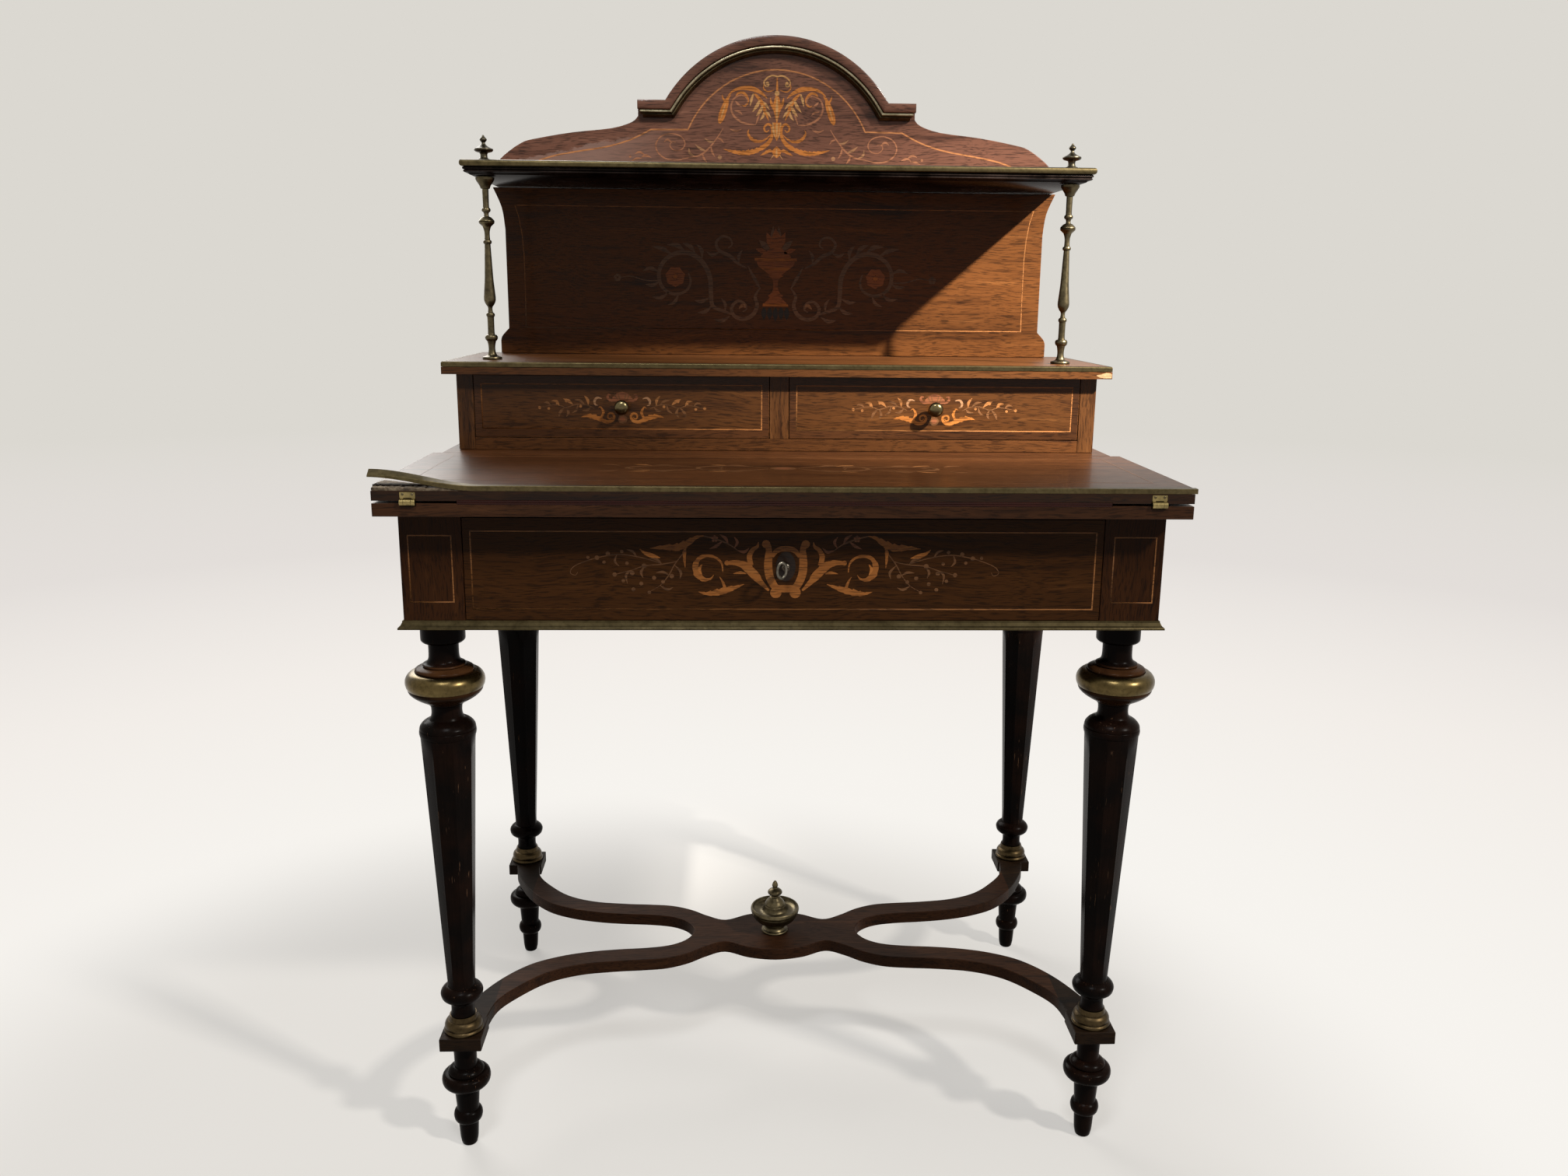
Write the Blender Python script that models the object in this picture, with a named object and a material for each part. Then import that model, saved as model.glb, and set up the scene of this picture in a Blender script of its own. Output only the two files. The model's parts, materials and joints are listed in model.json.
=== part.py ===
"""A bonheur du jour: lady's writing desk with a folding leaf, three drawers, a columned gallery and a crest.

Metres, +Z up, front towards -Y, origin on the floor at the middle of the desk's box.
"""
from math import asin, cos, pi, radians, sin

import bmesh
import bpy
from mathutils import Matrix, Vector

# Overall
LEAF_WIDTH = 0.804
DEPTH = 0.546
GAP = 0.0003
CUT = 0.002
PIN_CLEAR = 0.001

# Legs, feet and stretcher
LEG_INSET = 0.047
LEG_SETBACK = 0.062
LEG_BACK_INSET = 0.044
LEG_DOWEL_R = 0.011
LEG_DOWEL_H = 0.030
SPIGOT_R = 0.006
SPIGOT_H = 0.030
FLUTES = 8
FLUTE_DEPTH = 0.11
STRETCHER_Z = 0.131
STRETCHER_T = 0.015
STRETCHER_BLOCK = 0.046
URN_SPIGOT_R = 0.005
URN_SPIGOT_H = 0.008

# Apron and writing drawer
APRON_Z = 0.6185
APRON_H = 0.1202
POST = 0.062
RAIL_T = 0.018
LOWER_RAIL_H = 0.009
TOP_RAIL_H = 0.0052
TOP_RAIL_SETBACK = 0.002
FRONT_RAIL_DEPTH = 0.043
RUNNER_W = 0.068
MOULDING_OUT = 0.0055
DRAWER_PLAY = 0.0008
DRAWER_LIFT = 0.0005
DRAWER_FRONT_T = 0.020
DRAWER_SIDE_T = 0.010
DRAWER_SIDE_DROP = 0.0067
DRAWER_BOX_INSET = 0.001
DRAWER_BACK_ROOM = 0.070
DRAWER_BOTTOM_T = 0.006
DRAWER_BOTTOM_UP = 0.004
DRAWER_GROOVE = 0.004

# Lock and key
KEY_UP = 0.056
LOCK_W = 0.052
LOCK_T = 0.010
LOCK_DROP = 0.016
LOCK_BELOW_EDGE = 0.0005
LOCK_CAVITY_R = 0.0098
LOCK_CAVITY_DEEP = 0.0075
BOLT_W = 0.021
BOLT_T = 0.006
BOLT_OVER_KEY = 0.0067
BOLT_PLAY = 0.0003
MORTISE_PLAY = 0.0018
KEY_SHAFT_R = 0.0026
KEY_COLLAR_R = 0.0042
KEY_BIT_R = 0.0088
KEY_BIT_T = 0.0018
KEYHOLE_PLAY = 0.0008
KEY_SLOT_PLAY = 0.0004
KEY_OUT = 0.016
KEY_BOW_R = 0.0055
KEY_BOW_WIRE = 0.0013
KEY_BOW_TALL = 1.4
KEY_BOW_TURN = 35

# Folding leaf
LEAF_DEPTH = 0.256
LOWER_LEAF_T = 0.013
LEAF_GAP = 0.0025
UPPER_LEAF_T = 0.015
LEATHER_INSET = 0.082
LEATHER_MARGIN = 0.020
LEATHER_T = 0.0017
LEATHER_RECESS = 0.0010
STRIP_OVER = 0.0025
STRIP_H = 0.005
STRIP_T = 0.008
STRIP_LIFT = 0.015
STRIP_LIFT_RUN = 0.110
HINGE_INSET = 0.035
HINGE_W = 0.015
HINGE_MIDDLE_W = 0.007
HINGE_WEB_W = 0.0065
HINGE_R = 0.0035
HINGE_CLEAR = 0.0005
KNUCKLE_GAP = 0.00025
HINGE_PLATE = 0.0015
HINGE_PLATE_DEEP = 0.018
HINGE_PROUD = 0.0005
HINGE_UNDER_STRIP = 0.0014
SEAM = 0.0015
REAR_BOARD_INSET = 0.010

# Upper case and small drawers
CASE_INSET = 0.024
CASE_SETBACK = 0.031
CASE_BACK_INSET = 0.036
CASE_H = 0.0885
CASE_SIDE_T = 0.019
CASE_FLOOR_T = 0.014
CASE_BACK_T = 0.008
DIVIDER_T = 0.0225
BOARD_T = 0.0145
BOARD_OVER = 0.014
BOARD_OVER_BACK = 0.004
EDGE_H = 0.006
EDGE_T = 0.004
EDGE_CHAMFER = 0.0012
SMALL_PLAY = 0.0007
SMALL_FRONT_T = 0.016
SMALL_SIDE_T = 0.007
SMALL_SIDE_DROP = 0.0128
SMALL_BOX_INSET = 0.0005
SMALL_BACK_ROOM = 0.016
KNOB_R = 0.0075
KNOB_OUT = 0.017
KNOB_PIN_R = 0.003
KNOB_PIN_H = 0.009

# Gallery and crest
COLUMN_H = 0.2087
COLUMN_INSET = 0.021
COLUMN_SETBACK = 0.028
COLUMN_PIN_R = 0.004
COLUMN_PIN_H = 0.008
SHELF_INSET = 0.028
SHELF_SETBACK = 0.028
SHELF_T = 0.016
SHELF_EDGE_H = 0.007
FINIAL_H = 0.0295
FINIAL_ROD_R = 0.003
FINIAL_ROD_H = 0.028
PANEL_INSET = 0.004
PANEL_BACK_INSET = 0.012
PANEL_T = 0.016
CREST_INSET = 0.004
EAR_WIDTH = 0.352
ARCH_WIDTH = 0.282
EAR_H = 0.0905
ARCH_RISE = 0.078
ARCH_STEPS = 20
CREST_MOULDING_OUT = 0.024
CREST_MOULDING_H = 0.019

# Turned outlines: radius, then height from the outline's own base
FOOT = (
    (0.0062, 0.0), (0.0085, 0.003), (0.0100, 0.009), (0.0112, 0.030), (0.0150, 0.034), (0.0160, 0.0385),
    (0.0150, 0.0435), (0.0125, 0.047), (0.0140, 0.074), (0.0230, 0.0775), (0.0270, 0.0865), (0.0245, 0.0915),
    (0.0195, 0.093), (0.0170, 0.099), (0.0125, 0.103),
)
LEG_FOOT = (
    (0.0195, 0.0), (0.0185, 0.006), (0.0180, 0.012), (0.0155, 0.017), (0.0130, 0.024), (0.0125, 0.032),
    (0.0190, 0.039), (0.0230, 0.0475), (0.0205, 0.052), (0.0165, 0.0545), (0.0150, 0.057),
)
URN = (
    (0.0165, 0.0), (0.0165, 0.003), (0.0125, 0.009), (0.0175, 0.014), (0.0255, 0.022), (0.0292, 0.033),
    (0.0225, 0.0365), (0.0140, 0.040), (0.0090, 0.047), (0.0048, 0.0525), (0.0088, 0.058), (0.0030, 0.064),
    (0.0, 0.0727),
)
COLUMN = (
    (0.0115, 0.0), (0.0115, 0.003), (0.0050, 0.0067), (0.0039, 0.0117), (0.0053, 0.0219), (0.0073, 0.0265),
    (0.0040, 0.030), (0.0040, 0.0503), (0.0025, 0.0604), (0.0066, 0.069), (0.0050, 0.0929), (0.0034, 0.1336),
    (0.0048, 0.136), (0.0031, 0.1386), (0.0031, 0.148), (0.0091, 0.1585), (0.0027, 0.167), (0.0050, 0.172),
    (0.0036, 0.1755), (0.0037, 0.1953), (0.0068, 0.1993), (0.0105, 0.2054), (0.0105, 0.2087),
)
FINIAL = (
    (0.0077, 0.0), (0.0070, 0.003), (0.0041, 0.006), (0.0041, 0.009), (0.0109, 0.0125), (0.0105, 0.014),
    (0.0030, 0.0185), (0.0018, 0.021), (0.0039, 0.0255), (0.0020, 0.0288), (0.0, 0.0295),
)
KNOB = (
    (0.0045, 0.0), (0.0045, 0.0012), (0.0030, 0.002), (0.0030, 0.0045), (0.0060, 0.0065), (0.0075, 0.0105),
    (0.0060, 0.0150), (0.0035, 0.0166), (0.0, 0.017),
)

# The leg's head: radius, then distance below the apron
LEG_HEAD = (
    (0.0285, 0.126), (0.0300, 0.119), (0.0260, 0.109), (0.0175, 0.104), (0.0160, 0.093), (0.0300, 0.082),
    (0.0400, 0.074), (0.0410, 0.068), (0.0360, 0.056), (0.0290, 0.0525), (0.0215, 0.0445), (0.0157, 0.040),
    (0.0157, 0.0227), (0.0229, 0.0182), (0.0229, 0.0),
)

# The key's collar: radius, then distance out from the drawer's face
KEY_COLLAR = (
    (KEY_SHAFT_R, 0.002), (KEY_COLLAR_R, 0.0026), (KEY_COLLAR_R, 0.005), (KEY_SHAFT_R, 0.0062),
)

# Stretcher edges from the middle out to the leg block, drawn for a half spacing of 0.355 by 0.218
STRETCHER_DRAWN = (0.355, 0.218)
STRETCHER_OUTER = (
    (0.064, 0.0285), (0.088, 0.041), (0.110, 0.058), (0.135, 0.070), (0.165, 0.0725), (0.200, 0.0755),
    (0.243, 0.083), (0.280, 0.101), (0.310, 0.133), (0.328, 0.160), (0.334, 0.195),
)
STRETCHER_INNER = (
    (0.1055, 0.0), (0.115, 0.016), (0.133, 0.034), (0.163, 0.0425), (0.200, 0.046), (0.235, 0.0515),
    (0.270, 0.062), (0.305, 0.082), (0.336, 0.119), (0.360, 0.166), (0.366, 0.195),
)
PLATFORM_HALF_DEEP = 0.050
PLATFORM_STEPS = 4

# The back panel's edge: distance in from its foot's edge, then share of its height
PANEL_LOWER = ((0.0, 0.08), (0.0022, 0.11), (0.011, 0.155))
PANEL_UPPER = ((0.011, 0.75), (0.0075, 0.88), (-0.003, 1.0))

# The crest's swept shoulder from the shelf up to the ear: shares of its width and height
SHOULDER = (
    (1.0, 0.0), (0.989, 0.105), (0.935, 0.242), (0.810, 0.418), (0.707, 0.480), (0.456, 0.569),
    (0.185, 0.632), (0.045, 0.718), (0.002, 0.800),
)

# Moulding sections: the apron's as shares of projection and height, the crest's of height and projection
APRON_SECTION = ((1.0, 0.0), (1.0, 0.22), (0.55, 0.45), (0.28, 0.78), (0.22, 1.0))
CREST_SECTION = (
    (0.0, 0.96), (0.0, 0.0), (1.0, 0.0), (1.0, 0.12), (0.87, 0.27), (0.76, 0.50), (0.70, 0.68),
    (0.56, 0.68), (0.53, 0.92), (0.45, 1.0), (0.07, 1.0),
)

# Levels and planes that follow from the sizes above
FRONT = -DEPTH / 2 + HINGE_R + HINGE_PROUD
BACK = DEPTH / 2
LEAF_X = LEAF_WIDTH / 2
LEG_X = LEAF_X - LEG_INSET
LEG_FRONT = FRONT + LEG_SETBACK
LEG_BACK = BACK - LEG_BACK_INSET
LEG_MIDDLE = (LEG_FRONT + LEG_BACK) / 2
STRETCHER_TOP = STRETCHER_Z + STRETCHER_T
APRON_TOP = APRON_Z + APRON_H
APRON_FRONT = LEG_FRONT - POST / 2
APRON_BACK = LEG_BACK + POST / 2
APRON_X = LEG_X + POST / 2
OPENING_X = LEG_X - POST / 2
RUNNER_TOP = APRON_Z + LOWER_RAIL_H
DRAWER_Z = RUNNER_TOP + DRAWER_LIFT
DRAWER_X = OPENING_X - DRAWER_PLAY
DRAWER_INNER = APRON_FRONT + DRAWER_FRONT_T
DRAWER_TOP = APRON_TOP - TOP_RAIL_H - DRAWER_PLAY
KEY_Z = DRAWER_Z + KEY_UP
LOCK_FRONT = DRAWER_INNER + GAP
LOCK_TOP = DRAWER_TOP - LOCK_BELOW_EDGE
BOLT_Y = LOCK_FRONT + LOCK_T / 2
BOLT_LOW = KEY_Z + KEY_BIT_R + BOLT_OVER_KEY
LOWER_LEAF_Z = APRON_TOP + GAP
LOWER_LEAF_TOP = LOWER_LEAF_Z + LOWER_LEAF_T
UPPER_LEAF_Z = LOWER_LEAF_TOP + LEAF_GAP
LEAF_TOP = UPPER_LEAF_Z + UPPER_LEAF_T
LEAF_BACK = FRONT + LEAF_DEPTH
HINGE_AXIS_Y = FRONT - HINGE_PROUD
HINGE_AXIS_Z = LOWER_LEAF_TOP + LEAF_GAP / 2
HINGE_X = LEAF_X - HINGE_INSET
CASE_X = LEAF_X - CASE_INSET
CASE_FRONT = LEAF_BACK + CASE_SETBACK
CASE_Z = LEAF_TOP + GAP
CASE_BACK = BACK - CASE_BACK_INSET
CASE_INNER_X = CASE_X - CASE_SIDE_T
BOARD_Z = CASE_Z + CASE_H
BOARD_X = CASE_X + BOARD_OVER
BOARD_FRONT = CASE_FRONT - BOARD_OVER
BOARD_BACK = CASE_BACK + BOARD_OVER_BACK
BOARD_TOP = BOARD_Z + BOARD_T
SMALL_Z = CASE_Z + CASE_FLOOR_T + SMALL_PLAY
SMALL_TOP = BOARD_Z - GAP - SMALL_PLAY
SMALL_X = (CASE_INNER_X + DIVIDER_T / 2) / 2
SMALL_W = CASE_INNER_X - DIVIDER_T / 2 - 2 * SMALL_PLAY
SHELF_X = BOARD_X - SHELF_INSET
SHELF_FRONT = BOARD_FRONT + SHELF_SETBACK
SHELF_Z = BOARD_TOP + COLUMN_H + 2 * GAP
SHELF_TOP = SHELF_Z + SHELF_T
PANEL_BACK = BOARD_BACK - PANEL_BACK_INSET
PANEL_FRONT = PANEL_BACK - PANEL_T
COLUMN_X = SHELF_X - COLUMN_INSET
COLUMN_Y = SHELF_FRONT + COLUMN_SETBACK
EAR_Z = SHELF_TOP + EAR_H
ARCH_R = ((ARCH_WIDTH / 2) ** 2 + ARCH_RISE ** 2) / (2 * ARCH_RISE)
ARCH_ANGLE = asin(ARCH_WIDTH / 2 / ARCH_R)
ARCH_MIDDLE = EAR_Z + ARCH_RISE - ARCH_R
LEGS = (
    ("front_left", -LEG_X, LEG_FRONT), ("front_right", LEG_X, LEG_FRONT),
    ("back_left", -LEG_X, LEG_BACK), ("back_right", LEG_X, LEG_BACK),
)
SIDES = (("left", -1), ("right", 1))
SMOOTH_ANGLE = radians(42)
WELD = 1e-6

for old in list(bpy.data.objects):
    bpy.data.objects.remove(old, do_unlink=True)

place = {}


def group(name, at=(0.0, 0.0, 0.0), parent=None):
    """An empty that carries a set of pieces; a moving set has it on its axis."""
    empty = bpy.data.objects.new(name, None)
    bpy.context.collection.objects.link(empty)
    place[name] = Vector(at)
    empty.location = Vector(at)
    if parent:
        empty.parent = parent
        empty.location = Vector(at) - place[parent.name]
    return empty


def material(name, colour, roughness, metallic=0.0):
    made = bpy.data.materials.new(name)
    made.use_nodes = True
    shader = made.node_tree.nodes["Principled BSDF"]
    shader.inputs["Base Color"].default_value = (*colour, 1.0)
    shader.inputs["Roughness"].default_value = roughness
    shader.inputs["Metallic"].default_value = metallic
    made.diffuse_color = (*colour, 1.0)
    made.roughness = roughness
    made.metallic = metallic
    return made


def piece(name, bm, mat, parent, smooth=False):
    """Turns a built shape, given in desk coordinates, into a named object of its group."""
    bmesh.ops.recalc_face_normals(bm, faces=bm.faces)
    bmesh.ops.translate(bm, vec=-place[parent.name], verts=bm.verts)
    mesh = bpy.data.meshes.new(name)
    bm.to_mesh(mesh)
    bm.free()
    if smooth:
        mesh.shade_smooth()
        mesh.set_sharp_from_angle(angle=SMOOTH_ANGLE)
    obj = bpy.data.objects.new(name, mesh)
    if mat:
        obj.data.materials.append(mat)
    bpy.context.collection.objects.link(obj)
    obj.parent = parent
    return obj


def shape(target, bm, operation="DIFFERENCE"):
    """Cuts a built shape from a piece, or joins it on."""
    tool = piece(target.name + "_tool", bm, None, target.parent)
    tool.hide_render = True
    tool.display_type = "WIRE"
    modifier = target.modifiers.new(operation.lower(), "BOOLEAN")
    modifier.operation = operation
    modifier.solver = "EXACT"
    modifier.object = tool


def box(low, high):
    size = Vector(high) - Vector(low)
    middle = (Vector(high) + Vector(low)) / 2
    fit = Matrix.Translation(middle) @ Matrix.Diagonal((*size, 1.0))
    bm = bmesh.new()
    bmesh.ops.create_cube(bm, size=1.0, matrix=fit)
    return bm


def spin(bm, steps):
    """Turns an outline that lies in the XZ plane once round the Z axis."""
    geom = bm.verts[:] + bm.edges[:]
    bmesh.ops.spin(bm, geom=geom, cent=(0, 0, 0), axis=(0, 0, 1), angle=2 * pi, steps=steps, use_merge=True)
    bmesh.ops.remove_doubles(bm, verts=bm.verts, dist=WELD)


def turning(profile, at, segments=16, axis="Z"):
    """A turned solid from (radius, height) points; axis Y points it at the viewer."""
    points = list(profile)
    if points[0][0] > 0:
        points.insert(0, (0.0, points[0][1]))
    if points[-1][0] > 0:
        points.append((0.0, points[-1][1]))
    bm = bmesh.new()
    verts = [bm.verts.new((r, 0.0, h)) for r, h in points]
    for pair in zip(verts, verts[1:]):
        bm.edges.new(pair)
    spin(bm, segments)
    turn = Matrix.Rotation(pi / 2, 4, "X") if axis == "Y" else Matrix.Identity(4)
    bm.transform(Matrix.Translation(at) @ turn)
    return bm


def rod(radius, at, length, segments=16, axis="Z"):
    return turning(((radius, 0.0), (radius, length)), at, segments, axis)


def barrel(radius, x_low, x_high, y, z):
    """A cylinder along X."""
    bm = rod(radius, (0, 0, 0), x_high - x_low)
    bm.transform(Matrix.Translation((x_low, y, z)) @ Matrix.Rotation(pi / 2, 4, "Y"))
    return bm


def plate(outline, low, high, axis):
    """An outline pushed along an axis: points are (x, y) for Z, (x, z) for Y and (y, z) for X."""
    spots = {"Z": lambda a, b: (a, b, low), "Y": lambda a, b: (a, low, b), "X": lambda a, b: (low, a, b)}
    shifts = {"Z": (0, 0, high - low), "Y": (0, high - low, 0), "X": (high - low, 0, 0)}
    bm = bmesh.new()
    face = bm.faces.new([bm.verts.new(spots[axis](a, b)) for a, b in outline])
    grown = bmesh.ops.extrude_face_region(bm, geom=[face])
    moved = [v for v in grown["geom"] if isinstance(v, bmesh.types.BMVert)]
    bmesh.ops.translate(bm, vec=shifts[axis], verts=moved)
    return bm


def spline(p, q, r, s, t):
    """The point a share t of the way from q to r on a smooth line through p, q, r and s."""
    bend = 2 * p - 5 * q + 4 * r - s
    twist = 3 * q - p - 3 * r + s
    return 0.5 * (2 * q + (r - p) * t + bend * t ** 2 + twist * t ** 3)


def curve(points, steps):
    """A smooth line through the points."""
    line = [points[0], *points, points[-1]]
    found = []
    for near in zip(line, line[1:], line[2:], line[3:]):
        for i in range(steps):
            found.append(tuple(spline(*four, i / steps) for four in zip(*near)))
    return [*found, tuple(points[-1])]


def skin(bm, rings):
    """Joins rings of corners into a closed bar."""
    count = len(rings[0])
    for a, b in zip(rings, rings[1:]):
        for j in range(count):
            k = (j + 1) % count
            bm.faces.new((a[j], a[k], b[k], b[j]))
    bm.faces.new(rings[0])
    bm.faces.new(rings[-1][::-1])


def sweep(path, section, spot):
    """A section run along an open flat path with mitred corners; its first number is to the path's right."""
    ways = [(Vector(b) - Vector(a)).normalized() for a, b in zip(path, path[1:])]
    sides = [Vector((way.y, -way.x)) for way in ways]
    bm = bmesh.new()
    rings = []
    for i, point in enumerate(path):
        before = sides[max(i - 1, 0)]
        after = sides[min(i, len(sides) - 1)]
        mitre = (before + after) / (1 + before.dot(after))
        rings.append([bm.verts.new(spot(*(Vector(point) + mitre * out), level)) for out, level in section])
    skin(bm, rings)
    return bm


def round_three_sides(half, front, back, section):
    """A section run along the left side, the front and the right side of a board."""
    path = [(-half, back), (-half, front), (half, front), (half, back)]
    return sweep(path, section, lambda x, y, z: (x, y, z))


rosewood = material("rosewood", (0.085, 0.030, 0.016), 0.38)
ebonised = material("ebonised_wood", (0.012, 0.010, 0.009), 0.30)
walnut = material("walnut", (0.120, 0.055, 0.026), 0.42)
oak = material("oak_lining", (0.340, 0.210, 0.105), 0.65)
brass = material("brass", (0.500, 0.370, 0.150), 0.36, 1.0)
leather = material("red_leather", (0.150, 0.030, 0.018), 0.60)
iron = material("lock_iron", (0.230, 0.215, 0.190), 0.45, 1.0)

desk = group("desk")
leaf_pivot = group("leaf_pivot", (0.0, HINGE_AXIS_Y, HINGE_AXIS_Z), desk)
drawer_slide = group("writing_drawer_slide", (0.0, APRON_FRONT, DRAWER_Z), desk)
key_pivot = group("key_pivot", (0.0, APRON_FRONT, KEY_Z), drawer_slide)
bolt_slide = group("bolt_slide", (0.0, BOLT_Y, LOCK_TOP), drawer_slide)


def flute(bm, x, y, low, high):
    """Draws in every other line of points of a turned shaft."""
    for vert in bm.verts:
        if low - GAP < vert.co.z < high + GAP:
            away = Vector((vert.co.x - x, vert.co.y - y))
            line = round(Vector((1, 0)).angle_signed(away) / (pi / FLUTES))
            if line % 2:
                vert.co.x -= away.x * FLUTE_DEPTH
                vert.co.y -= away.y * FLUTE_DEPTH


def build_legs():
    head = APRON_Z - GAP
    base = STRETCHER_TOP + GAP
    tip = base - SPIGOT_H
    outline = [(SPIGOT_R, tip), (SPIGOT_R, base)]
    outline += [(r, base + h) for r, h in LEG_FOOT]
    outline += [(r, head - h) for r, h in LEG_HEAD]
    outline += [(LEG_DOWEL_R, head), (LEG_DOWEL_R, head + LEG_DOWEL_H)]
    foot_outline = [*FOOT, (FOOT[-1][0], STRETCHER_Z - GAP)]
    for corner, x, y in LEGS:
        bm = turning(outline, (x, y, 0.0), 2 * FLUTES)
        flute(bm, x, y, base + LEG_FOOT[-1][1], head - LEG_HEAD[0][1])
        piece("leg_" + corner, bm, ebonised, desk, smooth=True)
        foot = piece("foot_" + corner, turning(foot_outline, (x, y, 0.0)), ebonised, desk, smooth=True)
        shape(foot, rod(SPIGOT_R + GAP, (x, y, tip - PIN_CLEAR), SPIGOT_H))


def stretcher_quarter():
    """One quarter of the stretcher's edge, from the platform's front round a leg block to its end."""
    reach = (LEG_BACK - LEG_FRONT) / 2
    half = STRETCHER_BLOCK / 2
    waist_x, waist_y = STRETCHER_OUTER[0]
    points = []
    for i in range(PLATFORM_STEPS):
        share = i / PLATFORM_STEPS
        swell = (1 + cos(pi * share)) / 2
        points.append((waist_x * share, waist_y + (PLATFORM_HALF_DEEP - waist_y) * swell))
    points += curve(STRETCHER_OUTER, 2)
    back_again = list(reversed(curve(STRETCHER_INNER, 2)))
    wide, deep = LEG_X / STRETCHER_DRAWN[0], reach / STRETCHER_DRAWN[1]
    quarter = [(x * wide, y * deep) for x, y in points]
    quarter += [(LEG_X - half, reach - half), (LEG_X - half, reach + half)]
    quarter += [(LEG_X + half, reach + half), (LEG_X + half, reach - half)]
    quarter += [(x * wide, y * deep) for x, y in back_again]
    return quarter


def build_stretcher():
    quarter = stretcher_quarter()
    outline = [(x, -y) for x, y in quarter]
    outline += [(x, y) for x, y in reversed(quarter[:-1])]
    outline += [(-x, y) for x, y in quarter[1:]]
    outline += [(-x, -y) for x, y in reversed(quarter[1:-1])]
    bm = plate([(x, y + LEG_MIDDLE) for x, y in outline], STRETCHER_Z, STRETCHER_TOP, "Z")
    stretcher = piece("stretcher", bm, walnut, desk)
    for corner, x, y in LEGS:
        shape(stretcher, rod(SPIGOT_R + GAP, (x, y, STRETCHER_Z - CUT), STRETCHER_T + 2 * CUT))
    hole = URN_SPIGOT_H + PIN_CLEAR
    shape(stretcher, rod(URN_SPIGOT_R + GAP, (0, LEG_MIDDLE, STRETCHER_TOP - hole), hole + CUT, 12))
    urn = [(URN_SPIGOT_R, -URN_SPIGOT_H), (URN_SPIGOT_R, GAP)]
    urn += [(r, h + GAP) for r, h in URN]
    piece("stretcher_urn", turning(urn, (0, LEG_MIDDLE, STRETCHER_TOP)), brass, desk, smooth=True)


def build_apron():
    half = POST / 2
    for corner, x, y in LEGS:
        bm = box((x - half, y - half, APRON_Z), (x + half, y + half, APRON_TOP))
        post = piece("corner_post_" + corner, bm, rosewood, desk)
        shape(post, rod(LEG_DOWEL_R + 2 * GAP, (x, y, APRON_Z - CUT), LEG_DOWEL_H + CUT + PIN_CLEAR))
    inner = APRON_X - RAIL_T
    low = LEG_FRONT + half + GAP
    high = LEG_BACK - half - GAP
    for side, way in SIDES:
        x_low, x_high = sorted((way * inner, way * APRON_X))
        piece("side_rail_" + side, box((x_low, low, APRON_Z), (x_high, high, APRON_TOP)), rosewood, desk)
        x_low, x_high = sorted((way * (inner - GAP), way * (inner - RUNNER_W)))
        piece("drawer_runner_" + side, box((x_low, low, APRON_Z), (x_high, high, RUNNER_TOP)), oak, desk)
    x = OPENING_X - GAP
    depth = APRON_FRONT + FRONT_RAIL_DEPTH
    bm = box((-x, APRON_BACK - RAIL_T, APRON_Z), (x, APRON_BACK, APRON_TOP))
    piece("back_rail", bm, rosewood, desk)
    bm = box((-x, APRON_FRONT, APRON_Z), (x, depth, RUNNER_TOP))
    piece("front_lower_rail", bm, rosewood, desk)
    bm = box((-x, APRON_FRONT + TOP_RAIL_SETBACK, APRON_TOP - TOP_RAIL_H), (x, depth, APRON_TOP))
    rail = piece("front_top_rail", bm, rosewood, desk)
    slot_x = BOLT_W / 2 + MORTISE_PLAY
    slot_y = BOLT_T / 2 + MORTISE_PLAY
    slot_z = APRON_TOP - TOP_RAIL_H - CUT
    shape(rail, box((-slot_x, BOLT_Y - slot_y, slot_z), (slot_x, BOLT_Y + slot_y, APRON_TOP + CUT)))
    section = [(GAP, APRON_Z)]
    section += [(MOULDING_OUT * a, APRON_Z + LOWER_RAIL_H * b) for a, b in APRON_SECTION]
    section.append((GAP, RUNNER_TOP))
    bm = round_three_sides(APRON_X, APRON_FRONT, APRON_BACK, section)
    piece("apron_brass_moulding", bm, brass, desk)


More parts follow.
